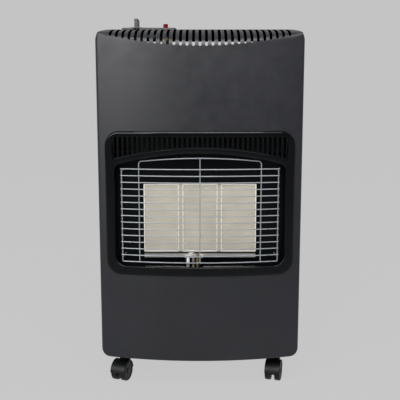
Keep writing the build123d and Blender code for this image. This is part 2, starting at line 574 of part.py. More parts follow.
def pilot_burner():
    """Brass pilot with a slotted head."""
    z0, z1 = OPEN_Z0 - 3, PILOT_PLATE_Z + 7
    body = rod((PILOT_X, PILOT_Y, z0), (PILOT_X, PILOT_Y, z1), PILOT_R)
    body += rod((PILOT_X, PILOT_Y, z0 + 4), (PILOT_X, PILOT_Y, z0 + 8), PILOT_R + 1.2)
    return body - block(PILOT_X - 5, PILOT_X + 5, PILOT_Y - 0.6, PILOT_Y + 0.6, z1 - 3, z1 + 2)


def spark_electrode():
    """Glazed ceramic electrode with a bent wire tip."""
    z1 = PILOT_PLATE_Z + 3
    body = rod((SPARK_X, PILOT_Y, SENSOR_Z0), (SPARK_X, PILOT_Y, z1), SPARK_R)
    body = fillet(body.edges().sort_by(Axis.Z)[-1], 1.6)
    bend = [(SPARK_X, PILOT_Y, z1 - 6), (SPARK_X, PILOT_Y, z1 + 5), (SPARK_X + 12, PILOT_Y, z1 + 7)]
    tip = pipe(bend, 0.9, 2.5)
    return body + tip


def thermocouple():
    """Sensor rod with a collar under the bracket."""
    z = PILOT_PLATE_Z
    sensor = rod((COUPLE_X, PILOT_Y, SENSOR_Z0), (COUPLE_X, PILOT_Y, z + 5), COUPLE_R)
    sensor = fillet(sensor.edges().sort_by(Axis.Z)[-1], 1.2)
    return sensor + rod((COUPLE_X, PILOT_Y, z - 7), (COUPLE_X, PILOT_Y, z - 3), COUPLE_R + 1.0)


def gas_manifold():
    """Square tube under the burners with two feet on the heat shield."""
    s = MANIFOLD_SIDE / 2
    x0, x1 = MANIFOLD_X
    tube = block(x0, x1, VENTURI_Y - s, VENTURI_Y + s, MANIFOLD_Z - s, MANIFOLD_Z + s)
    tube -= block(x0 + 1.5, x1 - 1.5, VENTURI_Y - s + 1.5, VENTURI_Y + s - 1.5, MANIFOLD_Z - s + 1.5,
                  MANIFOLD_Z + s - 1.5)
    tube -= rod((x0 - 1, VENTURI_Y, MANIFOLD_Z), (x0 + 5, VENTURI_Y, MANIFOLD_Z), 2.8)
    for x in (x0 + 14, x1 - 14):
        tube += block(x - 7, x + 7, VENTURI_Y + s - 0.5, Y_SHIELD - 0.1, MANIFOLD_Z - s, MANIFOLD_Z - s + 2)
    return tube


def injectors():
    """Three hexagonal brass injectors on the manifold."""
    group = []
    base = MANIFOLD_Z + MANIFOLD_SIDE / 2
    for index in (-1, 0, 1):
        x = index * BURNER_PITCH
        body = prism_z(Pos(x, VENTURI_Y) * RegularPolygon(5.2, 6), base, base + 7)
        body += rod((x, VENTURI_Y, base + 6), (x, VENTURI_Y, base + 11), 2.6)
        group.append(body - rod((x, VENTURI_Y, base + 1), (x, VENTURI_Y, base + 12), 0.6))
    return Compound(children=group)


def gas_valve():
    """Cast valve body with its neck through the top and the magnet unit at the side."""
    body = block(KNOB_X - 19, KNOB_X + 19, KNOB_Y - 14, KNOB_Y + 14, VALVE_Z0, VALVE_Z1)
    body = fillet(body.edges().filter_by(Axis.Z), 5)
    body += rod((KNOB_X, KNOB_Y, VALVE_Z1 - 1), (KNOB_X, KNOB_Y, Z_CREST + KNOB_CLEAR - GAP), VALVE_NECK_R)
    body += rod((KNOB_X + 15, KNOB_Y, MAGNET_Z), (MAGNET_X, KNOB_Y, MAGNET_Z), MAGNET_R)
    plug_z0, plug_z1 = VALVE_Z0 + 2.5, VALVE_Z1 - 6
    body -= rod((KNOB_X, KNOB_Y, plug_z0 - GAP), (KNOB_X, KNOB_Y, plug_z1 + GAP), PLUG_R + RUN)
    return body - rod((KNOB_X, KNOB_Y, plug_z1), (KNOB_X, KNOB_Y, Z_CREST + 5), SPINDLE_R + RUN)


def valve_plug():
    """Rotary plug that the spindle turns and slides in."""
    z0, z1 = VALVE_Z0 + 2.5, VALVE_Z1 - 6
    plug = rod((KNOB_X, KNOB_Y, z0), (KNOB_X, KNOB_Y, z1), PLUG_R)
    half = SPINDLE_SQUARE / 2 + RUN
    return plug - block(KNOB_X - half, KNOB_X + half, KNOB_Y - half, KNOB_Y + half, z0 + 5, z1 + 5)


def valve_spindle():
    """Spindle: square in the plug, round in the neck, with a thinner tip in the knob."""
    half = SPINDLE_SQUARE / 2
    z1, z2 = VALVE_Z1 - 1, knob_z()
    low = VALVE_Z0 + 2.5 + 5 + KNOB_PRESS + 1.0
    square = block(KNOB_X - half, KNOB_X + half, KNOB_Y - half, KNOB_Y + half, low, z1 + 1)
    neck = rod((KNOB_X, KNOB_Y, z1), (KNOB_X, KNOB_Y, z2), SPINDLE_R)
    return square + neck + rod((KNOB_X, KNOB_Y, z1), (KNOB_X, KNOB_Y, z2 + SPINDLE_TIP), SPINDLE_TIP_R)


def knob_z():
    """Underside of the knob when it isn't pressed."""
    return Z_CREST + KNOB_PRESS + KNOB_CLEAR


def control_knob():
    """Round skirt with an upright finger grip that points to the front when off."""
    x, y, z0 = KNOB_X, KNOB_Y, knob_z()
    half_w, half_l = KNOB_GRIP_W / 2, KNOB_R - 0.8
    skirt = rod((x, y, z0), (x, y, z0 + KNOB_SKIRT), KNOB_R)
    skirt = fillet(skirt.edges().sort_by(Axis.Z)[-1], 0.6 * KNOB_SKIRT)
    grip = block(x - half_w, x + half_w, y - half_l, y + half_l, z0 + KNOB_SKIRT / 2, KNOB_TOP)
    grip = fillet(grip.edges().filter_by(Axis.Z), 2.4)
    grip = fillet(grip.edges().group_by(Axis.Z)[-1], 1.6)
    bore = rod((x, y, z0 - 1), (x, y, z0 + SPINDLE_TIP), SPINDLE_TIP_R)
    return skirt + grip - bore


def control_bezel():
    """Raised plate round the knob and the igniter, with dial marks."""
    x0, x1, y0, y1 = BEZEL
    z0, z1 = Z_CREST + 0.05, Z_CREST + BEZEL_H
    plate = prism_z(Pos((x0 + x1) / 2, (y0 + y1) / 2) * RectangleRounded(x1 - x0, y1 - y0, 9), z0, z1)
    plate = fillet(plate.faces().sort_by(Axis.Z)[-1].edges(), 2.0)
    plate -= rod((KNOB_X, KNOB_Y, z0 - 5), (KNOB_X, KNOB_Y, z1 + 5), KNOB_R + 1.2)
    plate -= rod((BUTTON_X, BUTTON_Y, z0 - 5), (BUTTON_X, BUTTON_Y, z1 + 5), PIEZO_R + 0.2)
    reach = KNOB_R + 4.5
    for i in range(4):
        angle = math.radians(-90 + 50 * i)
        spot = (KNOB_X + reach * math.cos(angle), KNOB_Y + reach * math.sin(angle))
        plate -= Pos(spot[0], spot[1], z1) * Cylinder(0.9, 0.6)
    return plate


def piezo_body():
    """Igniter housing through the bezel, with a threaded upper part and a collar."""
    body = rod((BUTTON_X, BUTTON_Y, PIEZO_Z0), (BUTTON_X, BUTTON_Y, Z_CREST + BEZEL_H + 0.6), PIEZO_R)
    body += rod((BUTTON_X, BUTTON_Y, PIEZO_Z0 + 4), (BUTTON_X, BUTTON_Y, PIEZO_Z0 + 14), PIEZO_R + 1.4)
    low = BUTTON_TOP - BUTTON_LENGTH - BUTTON_PRESS - 1
    return body - rod((BUTTON_X, BUTTON_Y, low), (BUTTON_X, BUTTON_Y, Z_CREST + 20), BUTTON_R + RUN)


def piezo_nut():
    z0, z1 = PIEZO_NUT_Z
    nut = prism_z(Pos(BUTTON_X, BUTTON_Y) * RegularPolygon(11.4, 6), z0, z1)
    return nut - rod((BUTTON_X, BUTTON_Y, z0 - 1), (BUTTON_X, BUTTON_Y, z1 + 1), PIEZO_R)


def igniter_button():
    low = BUTTON_TOP - BUTTON_LENGTH
    button = rod((BUTTON_X, BUTTON_Y, low), (BUTTON_X, BUTTON_Y, BUTTON_TOP), BUTTON_R)
    return fillet(button.edges().sort_by(Axis.Z)[-1], 1.0)


def hose_tail():
    """Barbed inlet for the gas hose at the back of the valve."""
    y0 = KNOB_Y + 14
    z = (VALVE_Z0 + VALVE_Z1) / 2 - 3
    tail = rod((KNOB_X, y0, z), (KNOB_X, y0 + HOSE_LENGTH, z), HOSE_R - 0.6)
    nut = extrude(Plane(origin=(KNOB_X, y0, z), z_dir=(0, 1, 0)) * RegularPolygon(8.0, 6), amount=7)
    lands = [rod((KNOB_X, y0 + d, z), (KNOB_X, y0 + d + 3.4, z), HOSE_R) for d in (9.0, 14.6, 20.2)]
    return tail + nut + lands - rod((KNOB_X, y0 - 1, z), (KNOB_X, y0 + HOSE_LENGTH + 1, z), 2.4)


def caster_sockets():
    """Plastic sockets that hold the four caster stems in the tray."""
    group = []
    for x, y in caster_points():
        socket = rod((x, y, Z_LOW - 4), (x, y, Z_LOW + SOCKET_UP), SOCKET_R)
        socket += rod((x, y, Z_LOW - 4), (x, y, Z_LOW - 0.05), SOCKET_R + 4)
        group.append(socket - rod((x, y, Z_LOW - 5), (x, y, Z_LOW + SOCKET_UP - 3.7), STEM_R + RUN))
    return Compound(children=group)


def caster_parts():
    """Hood, pins and the two wheels of one caster, with the stem on the Z axis and the wheels behind it."""
    y = -CASTER_TRAIL
    half = WHEEL_GAP / 2 + WHEEL_W
    web = WHEEL_GAP / 2 - 0.6
    hood = rod((-half, y, WHEEL_R), (half, y, WHEEL_R), HOOD_R)
    hood = fillet(hood.edges(), 1.2)
    hood = hood & block(-50, 50, y - 50, y + 50, WHEEL_R + 1, 90)
    hood += rod((0, 0, 30), (0, 0, 52), 12) + rod((0, 0, 50), (0, 0, Z_LOW - 5), 6.8)
    hood += rod((-web, y, WHEEL_R), (web, y, WHEEL_R), WEB_R)
    for side in (-1, 1):
        hood -= rod((side * web, y, WHEEL_R), (side * (half + 5), y, WHEEL_R), WHEEL_R + 0.8)
    hood -= rod((-50, y, WHEEL_R), (50, y, WHEEL_R), AXLE_R)
    hood -= rod((0, 0, 41), (0, 0, 90), STEM_R)
    pins = [rod((0, 0, 41), (0, 0, Z_LOW + SOCKET_UP - 4), STEM_R),
            rod((3 - half, y, WHEEL_R), (half - 3, y, WHEEL_R), AXLE_R)]
    wheels = []
    for side in (-1, 1):
        wheel = rod((side * WHEEL_GAP / 2, y, WHEEL_R), (side * half, y, WHEEL_R), WHEEL_R)
        wheel = fillet(wheel.edges(), 1.8)
        wheel -= rod((side * (half - 1.2), y, WHEEL_R), (side * (half + 1), y, WHEEL_R), WHEEL_R - 4)
        wheel += rod((side * (half - 1.4), y, WHEEL_R), (side * half, y, WHEEL_R), 6)
        wheels.append(wheel - rod((0, y, WHEEL_R), (side * (half - 2.8), y, WHEEL_R), AXLE_R + RUN))
    return hood, Compound(children=pins), wheels


def save_casters():
    hood, pins, wheels = caster_parts()
    for (tag, yaw), (x, y) in zip(CASTER_YAW.items(), caster_points()):
        place = Pos(x, y, 0) * Rot(0, 0, yaw)
        save(place * hood, "caster_" + tag + "_hood")
        save(place * pins, "caster_" + tag + "_pins")
        save(place * wheels[0], "caster_" + tag + "_wheel_a")
        save(place * wheels[1], "caster_" + tag + "_wheel_b")


os.makedirs("parts", exist_ok=True)
save(front_panel(), "front_panel")
save(side_panel(-1), "side_panel_left")
save(side_panel(1), "side_panel_right")
save(top_panel(), "top_panel")
save(base_tray(), "base_tray")
save(heat_shield(), "heat_shield")
save(rear_rail(), "rear_rail")
save(rear_cover(), "rear_cover")
save(cabinet_screws(), "cabinet_screws")
save(burner_surround(), "burner_surround")
save(reflector_box(), "reflector_box")
for index, name in ((-1, "left"), (0, "centre"), (1, "right")):
    save(plaque(index), "plaque_" + name)
    save(burner_plenum(index), "burner_plenum_" + name)
save(plaque_frames(), "plaque_frames")
save(burner_rail(), "burner_rail")
save(wire_guard(), "wire_guard")
save(pilot_bracket(), "pilot_bracket")
save(pilot_burner(), "pilot_burner")
save(spark_electrode(), "spark_electrode")
save(thermocouple(), "thermocouple")
save(gas_manifold(), "gas_manifold")
save(injectors(), "injectors")
save(gas_valve(), "gas_valve")
save(valve_plug(), "valve_plug")
save(valve_spindle(), "valve_spindle")
save(control_knob(), "control_knob")
save(control_bezel(), "control_bezel")
save(piezo_body(), "piezo_body")
save(piezo_nut(), "piezo_nut")
save(igniter_button(), "igniter_button")
save(hose_tail(), "hose_tail")
save(pipe(FEED, 4.0, 10.0, 3.0), "feed_pipe")
save(pipe(PILOT_PIPE, 2.0, 5.0), "pilot_pipe")
save(pipe(COUPLE_LEAD, 1.0, 3.0), "thermocouple_lead")
save(pipe(SPARK_LEAD, 1.5, 5.0), "ignition_lead")
save(caster_sockets(), "caster_sockets")
save_casters()
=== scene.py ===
import json
import math

import bmesh
import bpy
import numpy as np
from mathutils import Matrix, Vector


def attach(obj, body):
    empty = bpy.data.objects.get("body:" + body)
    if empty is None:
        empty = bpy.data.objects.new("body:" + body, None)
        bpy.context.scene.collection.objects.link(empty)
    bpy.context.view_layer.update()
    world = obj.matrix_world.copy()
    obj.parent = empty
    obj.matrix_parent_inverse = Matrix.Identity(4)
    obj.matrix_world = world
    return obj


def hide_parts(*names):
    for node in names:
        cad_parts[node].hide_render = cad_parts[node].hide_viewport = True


# Portable cabinet gas heater. Shapes are worked out in millimetres and put into meshes in metres.
# +Z is up and the bowed front faces -Y.

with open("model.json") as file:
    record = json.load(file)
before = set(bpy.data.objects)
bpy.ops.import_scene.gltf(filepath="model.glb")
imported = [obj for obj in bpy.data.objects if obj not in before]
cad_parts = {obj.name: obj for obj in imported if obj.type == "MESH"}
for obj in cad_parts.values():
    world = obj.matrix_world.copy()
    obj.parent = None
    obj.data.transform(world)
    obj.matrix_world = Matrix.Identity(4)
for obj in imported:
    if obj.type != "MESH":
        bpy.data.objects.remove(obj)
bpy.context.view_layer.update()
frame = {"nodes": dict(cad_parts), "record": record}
scene = bpy.context.scene
nodes_cad = frame["nodes"]
slot_of = {row["node"]: row["material_slot"] for row in frame["record"]["subparts"]}
body_with = {n: b for b, members in frame["record"]["behaviour"]["bodies"].items() for n in members}

# ---- sizes, in millimetres; angles in degrees ----
HALF = 211.0                        # half width over the sides
Z_LOW, Z_CREST = 65.0, 758.0
Y_FACE, Y_SEAM, Y_REAR = -196.0, -100.0, 150.0
BOW_R, CORNER_R, TOP_R, EDGE_R, SHEET = 740.0, 18.0, 28.0, 8.0, 1.2
BOW_Y = Y_FACE + BOW_R              # upright axis of the bow
# points that the shoulder passes through, as (behind the face, below the crest)
SHOULDER = [(-14.0, 44.0), (3.0, 29.0), (23.0, 16.0), (60.0, 5.6), (100.0, -0.4)]
END_SLOPES = -1.0, -0.03            # at the first and the last of them
ROLL_ENDS, ROLL_MIDDLE = 9.0, 19.0  # radius of the crease between face and shoulder
ROLL_FADE = 15.0                    # the crease's radius goes to nothing over this width at the sides
GRILLE_COUNT, GRILLE_PITCH, GRILLE_SLOT = 29, 12.8, 5.8
GRILLE_LOW, GRILLE_ARC_R, GRILLE_Y = 716.1, 746.0, -112.0
SUR_HALF, SUR_Z0, SUR_Z1, SUR_R = 195.0, 251.5, 549.5, 30.0
SUR_PROUD, SUR_SHEET = 4.0, 1.4
LIP_ROLL, LIP_ROLL_LOW = 7.0, 2.2   # roll of the opening's edge, in the upper part and at the bottom
LIP_RISE = 150.0                    # the lower part, in which it grows
LIP_DEEP, RIM_ROLL, RIM_DEEP = 5.0, 5.0, 3.4
SEAT = 0.3                          # the rim stands off the panel, and the top off the seam
OPEN_HALF, OPEN_Z0, OPEN_R, Y_LIP = 175.5, 271.0, 22.0, -168.0
ARCH_TOP, ARCH_R, ARCH_CORNER = 505.0, 603.0, 16.0
LOUVRE_COUNT, LOUVRE_PITCH, LOUVRE_SLOT = 35, 10.15, 5.6
LOUVRE_TOP, LOUVRE_ARC_TOP, LOUVRE_ARC_R = 538.3, 517.6, 666.0
RECESS_DEPTH, RECESS_TOP, RECESS_HALF, RECESS_R = 3.0, 541.7, 178.0, 6.0
UNDER_LOUVRES = 5.0, 2.6, 1.9       # rows under their arc; the recess's wall is between the last two
RECESS_WALL = 0.7
PLAQUE_W, PLAQUE_H, PLAQUE_T, BURNER_PITCH = 71.0, 141.5, 13.0, 81.5
BURNER_Z, Y_PLAQUE = 364.8, -146.0
LIP_HIGHLIGHT_FROM, LIP_HIGHLIGHT_TO = 1.3, 0.3       # in front of the plaques, where the lips' painted highlight goes over into the frames' matt sheet
WIRE_R, WIRE_COUNT, WIRE_TOP, WIRE_BOTTOM = 1.1, 15, 472.4, 278.9
WIRE_PROUD = -3.0                   # middle of the laterals, off the bowed face; below 0 is behind it
WIRE_SINK, WIRE_OVER = 0.5, 0.5     # crossing wires sink into each other, and end past each other
GUARD_HALF, LOOP_HALF, LOOP_TOP, LOOP_CORNER, LOOP_BEND = 163.3, 125.2, 495.0, 488.5, 7.0
SIDE_WIRE_IN, LOW_WIRE_IN = 2.0, 3.0    # side wires and the lowest lateral, in from the laterals' ends
LEG_Z, LEG_HOLE_X, LEG_Y = (287.5, 468.0), 159.0, -131.5
VALVE_SHADE_EDGE = -114.0                 # left of this the valve is painted near-black, as painted shade; right of it lies its magnet unit
BRACKET_SHADE_EDGE = 282.0                # below this the pilot bracket's upright is painted near-black, as painted shade under its bright shelf
CASTERS = {"fl": (-167.0, -117.0, -20.0), "fr": (167.0, -117.0, -15.0),
           "rl": (-167.0, 118.0, 152.0), "rr": (167.0, 118.0, 28.0)}
TRAIL, WHEEL_R, WHEEL_W, WHEEL_GAP, AXLE_R = 17.0, 21.5, 12.6, 8.4, 3.0
ROLLED = {"plaque_frames": 0.5}     # CAD nodes whose sheet edges are rounded, and by how much

# ---- rows and columns of the grids ----
SLOT_ROWS = 14                      # rows between the ends of a slot in the grille
FAN = 13                            # lines in each fan at a corner of the surround
CROSS = np.array([-1.0, -0.8, -0.4, 0.4, 0.8, 1.0])     # columns of a slot, in half widths
WHEEL_SIDES, WIRE_SIDES = 56, 10

# ---- joining and smoothing ----
MERGE, TINY = 2e-6, 1e-7            # metres
MESH_SHARP, NODE_SHARP = 35.0, 32.0     # degrees, above which an edge stays sharp


# ---- meshes ----

def grid(points, keep=None, loop=False, flip=False):
    """Quads between neighbours of a grid of points; rows run along the first axis.

    keep says which quads stay, loop joins the last column to the first, and flip turns them over."""
    rows, cols = points.shape[:2]
    number = np.arange(rows * cols).reshape(rows, cols)
    if loop:
        number = np.hstack([number, number[:, :1]])
    quads = np.stack([number[:-1, :-1], number[:-1, 1:], number[1:, 1:], number[1:, :-1]], axis=-1)
    quads = quads.reshape(-1, 4) if keep is None else quads[keep]
    return points.reshape(-1, 3), quads[:, ::-1] if flip else quads


def mesh_of(name, patches, closed=False):
    """One mesh, in metres, of several grids, with the points that they share merged."""
    points, quads, base = [], [], 0
    for place, face in patches:
        points.append(place * 0.001)
        quads.append(face + base)
        base += len(place)
    mesh = bpy.data.meshes.new(name)
    mesh.from_pydata(np.concatenate(points).tolist(), [], np.concatenate(quads).tolist())
    work = bmesh.new()
    work.from_mesh(mesh)
    bmesh.ops.remove_doubles(work, verts=work.verts, dist=MERGE)
    bmesh.ops.dissolve_degenerate(work, edges=work.edges, dist=TINY)
    bmesh.ops.delete(work, geom=[v for v in work.verts if not v.link_faces], context="VERTS")
    if closed:
        bmesh.ops.recalc_face_normals(work, faces=work.faces)
    work.to_mesh(mesh)
    work.free()
    mesh.shade_smooth()
    mesh.set_sharp_from_angle(angle=math.radians(MESH_SHARP))
    return mesh


def piece(name, patches, node, closed=False):
    """A finished piece that stands for a node, with the node's body and material slot."""
    made = bpy.data.objects.new(name, mesh_of(name, patches, closed))
    scene.collection.objects.link(made)
    made.data.materials.append(finishes[slot_of[node]])
    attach(made, body_with[node])
    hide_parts(node)
    return made


def wall(made, thickness, inside=None):
    """Gives a sheet its thickness, inwards, and its inner side a finish of its own if one is named."""
    solid = made.modifiers.new("wall", "SOLIDIFY")
    solid.thickness = thickness * 0.001
    solid.offset = -1.0
    solid.use_even_offset = True
    if inside:
        made.data.materials.append(inside)
        solid.material_offset = 1
        solid.material_offset_rim = 1
    return made


def rounded(made, name, width, segments, angle):
    """Rounds the edges that are sharper than an angle."""
    edge = made.modifiers.new(name, "BEVEL")
    edge.width = width * 0.001
    edge.segments = segments
    edge.limit_method = "ANGLE"
    edge.angle_limit = math.radians(angle)


def flat_shading(made):
    """Keeps the shading of flat faces flat where rounded edges meet them."""
    made.modifiers.new("shade", "WEIGHTED_NORMAL").keep_sharp = True


def soften(made, width, angle=40.0):
    """Rounds the sharp edges of a piece and keeps the flat faces flat."""
    rounded(made, "edge", width, 2, angle)
    flat_shading(made)


def stack(*columns):
    """Points of a grid from its x, y and z, each a number or an array that spreads over the others."""
    return np.stack(np.broadcast_arrays(*columns), axis=-1).astype(float)


def tube(path, across=(0.0, 1.0, 0.0)):
    """A round wire along a path: a circle in the plane across the path at every point of it.

    across is a direction that the path never takes. Each end reaches out by a share of the radius and closes
    there in a point, with one smaller ring before it."""
    reach, ring_r = 0.35, 0.72 * WIRE_R
    lead = path[0] + (path[0] - path[1]) / np.linalg.norm(path[0] - path[1]) * WIRE_R * reach
    tail = path[-1] + (path[-1] - path[-2]) / np.linalg.norm(path[-1] - path[-2]) * WIRE_R * reach
    path = np.vstack([lead, lead * 0.65 + path[0] * 0.35, path, tail * 0.65 + path[-1] * 0.35, tail])
    size = np.full(len(path), WIRE_R)
    size[[0, 1, -2, -1]] = 0.0, ring_r, ring_r, 0.0
    along = np.gradient(path, axis=0)
    along /= np.linalg.norm(along, axis=1, keepdims=True)
    side = np.cross(along, across)
    side /= np.linalg.norm(side, axis=1, keepdims=True)
    up = np.cross(side, along)
    turn = np.linspace(0, 2 * np.pi, WIRE_SIDES, endpoint=False)
    ring = side[:, None] * np.cos(turn)[None, :, None] + up[:, None] * np.sin(turn)[None, :, None]
    return grid(path[:, None] + size[:, None, None] * ring, loop=True)


def turned(profile, origin, axis):
    """A turned shape: the profile's (radius, height) pairs swept once round a level axis at the origin."""
    profile = np.asarray(profile, float)
    side = np.cross(axis, (0.0, 0.0, 1.0))
    up = np.cross(axis, side)
    turn = np.linspace(0, 2 * np.pi, WHEEL_SIDES, endpoint=False)[None, :, None]
    ring = side * np.cos(turn) + up * np.sin(turn)
    return grid(np.array(origin) + profile[:, :1, None] * ring + profile[:, 1:, None] * axis, loop=True)


def arc(centre, radius, start, end, count):
    """Points of a circular arc, angles in degrees, as (first, second) pairs."""
    turn = np.radians(np.linspace(start, end, count))
    return np.stack([centre[0] + radius * np.cos(turn), centre[1] + radius * np.sin(turn)], axis=-1)


# ---- materials ----

def shader(name, colour, rough, metallic=0.0, specular=0.5):
    """A material with its nodes, links, shader and the object's own coordinates."""
    made = bpy.data.materials.new(name)
    made.use_nodes = True
    tree = made.node_tree
    bsdf = tree.nodes["Principled BSDF"]
    bsdf.inputs["Base Color"].default_value = (*colour, 1.0)
    bsdf.inputs["Roughness"].default_value = rough
    bsdf.inputs["Metallic"].default_value = metallic
    bsdf.inputs["Specular IOR Level"].default_value = specular
    place = tree.nodes.new("ShaderNodeTexCoord").outputs["Object"]
    return made, tree, bsdf, place


def noise(tree, place, scale, detail=2.0, rough=0.5, stretch=None):
    """Noise of about 0.3 to 0.7 at a scale in marks per metre, drawn out along an axis by a small stretch."""
    if stretch:
        mapping = tree.nodes.new("ShaderNodeMapping")
        mapping.inputs["Scale"].default_value = stretch
        tree.links.new(place, mapping.inputs["Vector"])
        place = mapping.outputs["Vector"]
    made = tree.nodes.new("ShaderNodeTexNoise")
    made.inputs["Scale"].default_value = scale
    made.inputs["Detail"].default_value = detail
    made.inputs["Roughness"].default_value = rough
    tree.links.new(place, made.inputs["Vector"])
    return made.outputs["Fac"]


def spread(tree, value, low, high, start=0.3, end=0.7):
    """Maps a value from start..end to low..high."""
    made = tree.nodes.new("ShaderNodeMapRange")
    made.inputs["From Min"].default_value = start
    made.inputs["From Max"].default_value = end
    made.inputs["To Min"].default_value = low
    made.inputs["To Max"].default_value = high
    tree.links.new(value, made.inputs["Value"])
    return made.outputs["Result"]


def blend(tree, value, low, high):
    """Mixes two colours by a value."""
    made = tree.nodes.new("ShaderNodeMix")
    made.data_type = "RGBA"
    tree.links.new(value, made.inputs["Factor"])
    made.inputs["A"].default_value = (*low, 1.0)
    made.inputs["B"].default_value = (*high, 1.0)
    return made.outputs["Result"]


def relief(tree, bsdf, height, depth, strength=1.0, under=None):
    """Bump of a height from 0 to 1 that stands for a depth in metres, over a bump that lies under it."""
    made = tree.nodes.new("ShaderNodeBump")
    made.inputs["Distance"].default_value = depth
    made.inputs["Strength"].default_value = strength
    tree.links.new(height, made.inputs["Height"])
    if under:
        tree.links.new(under, made.inputs["Normal"])
    tree.links.new(made.outputs["Normal"], bsdf.inputs["Normal"])
    return made.outputs["Normal"]


def tone(colour, factor):
    """A colour made darker or lighter."""
    return tuple(min(1.0, c * factor) for c in colour)


def mottled(tree, bsdf, marks, colour, change):
    """Base colour that goes a share darker and lighter with the marks."""
    tint = blend(tree, spread(tree, marks, 0.0, 1.0), tone(colour, 1 - change), tone(colour, 1 + change))
    tree.links.new(tint, bsdf.inputs["Base Color"])


def coated(name, colour, rough, grain, depth, cloud=9.0, specular=0.5, coat=0.0):
    """Painted or moulded surface: soft clouds of tone, a fine grain in relief and an uneven gloss."""
    made, tree, bsdf, place = shader(name, colour, rough, specular=specular)
    mottled(tree, bsdf, noise(tree, place, cloud, 3.0), colour, 0.12)
    gloss = noise(tree, place, cloud * 7, 4.0, 0.6)
    tree.links.new(spread(tree, gloss, rough * 0.86, rough * 1.14), bsdf.inputs["Roughness"])
    fine = noise(tree, place, grain, 2.0, 0.55)
    relief(tree, bsdf, fine, depth)
    if coat:
        bsdf.inputs["Coat Weight"].default_value = coat
        bsdf.inputs["Coat Roughness"].default_value = 0.06
    return made


def metal(name, colour, rough, brush=None, depth=0.00001, change=0.1, spots=160.0, metallic=1.0):
    """Bare metal: brushed or drawn lines along one axis, with a slightly uneven tone.

    metallic is below 1 where the plating is dull."""
    made, tree, bsdf, place = shader(name, colour, rough, metallic=metallic)
    marks = noise(tree, place, spots, 3.0, 0.55, stretch=brush)
    mottled(tree, bsdf, marks, colour, change)
    tree.links.new(spread(tree, marks, rough * 0.75, rough * 1.3), bsdf.inputs["Roughness"])
    fine = noise(tree, place, spots * 5, 2.0, 0.5, stretch=brush)
    relief(tree, bsdf, fine, depth)
    return made


def zinc(name, colour, rough):
    """Plated sheet with faint crystal patches."""
    made, tree, bsdf, place = shader(name, colour, rough, metallic=1.0)
    cells = tree.nodes.new("ShaderNodeTexVoronoi")
    cells.inputs["Scale"].default_value = 90.0
    tree.links.new(place, cells.inputs["Vector"])
    tint = blend(tree, cells.outputs["Color"], tone(colour, 0.8), tone(colour, 1.12))
    tree.links.new(tint, bsdf.inputs["Base Color"])
    gloss = noise(tree, place, 40.0)
    tree.links.new(spread(tree, gloss, rough * 0.8, rough * 1.25), bsdf.inputs["Roughness"])
    relief(tree, bsdf, noise(tree, place, 700.0), 0.00001)
    return made


def lipped_frame(name, base, lip):
    """Clamping frame: matt sheet whose lips at the front are painted lighter, as painted highlight, and fine
    lines along it.
    """
    made, tree, bsdf, place = shader(name, base, 0.45, metallic=0.35)
    apart = tree.nodes.new("ShaderNodeSeparateXYZ")
    tree.links.new(place, apart.inputs["Vector"])
    highlit, matt = (Y_PLAQUE - LIP_HIGHLIGHT_FROM) * 0.001, (Y_PLAQUE - LIP_HIGHLIGHT_TO) * 0.001
    ahead = spread(tree, apart.outputs["Y"], 1.0, 0.0, highlit, matt)
    tree.links.new(blend(tree, ahead, base, lip), bsdf.inputs["Base Color"])
    lines = noise(tree, place, 300.0, 3.0, 0.55, stretch=(1.0, 1.0, 0.05))
    tree.links.new(spread(tree, lines, 0.35, 0.6), bsdf.inputs["Roughness"])
    relief(tree, bsdf, lines, 0.00002)
    return made


def perforated_ceramic(name, colour):
    """Radiant plaque: staggered rows of fine blind holes in a chalky body, slightly mottled; the holes'
    mouths are darkened in the colour as painted shade.
    """
    made, tree, bsdf, place = shader(name, colour, 0.86, specular=0.25)
    turned_place = tree.nodes.new("ShaderNodeMapping")
    turned_place.inputs["Rotation"].default_value = (0.0, math.radians(45.0), 0.0)
    turned_place.inputs["Scale"].default_value = (1.0, 0.0, 1.0)
    tree.links.new(place, turned_place.inputs["Vector"])
    holes = tree.nodes.new("ShaderNodeTexVoronoi")
    holes.inputs["Scale"].default_value = 640.0
    holes.inputs["Randomness"].default_value = 0.0
    tree.links.new(turned_place.outputs["Vector"], holes.inputs["Vector"])
    mouth = spread(tree, holes.outputs["Distance"], 1.0, 0.0, 0.27, 0.38)
    clouds = spread(tree, noise(tree, place, 26.0, 4.0), 0.0, 1.0)
    mottle = blend(tree, clouds, tone(colour, 0.9), tone(colour, 1.07))
    # Painted shade: the holes' mouths are darkened for the shade inside them.
    hole_shade = tree.nodes.new("ShaderNodeMix")
    hole_shade.data_type = "RGBA"
    tree.links.new(mouth, hole_shade.inputs["Factor"])
    tree.links.new(mottle, hole_shade.inputs["A"])
    hole_shade.inputs["B"].default_value = (*tone(colour, 0.36), 1.0)
    tree.links.new(hole_shade.outputs["Result"], bsdf.inputs["Base Color"])
    chalk = relief(tree, bsdf, noise(tree, place, 1500.0, 3.0), 0.00006)
    relief(tree, bsdf, mouth, 0.0004, strength=0.6, under=chalk)
    return made


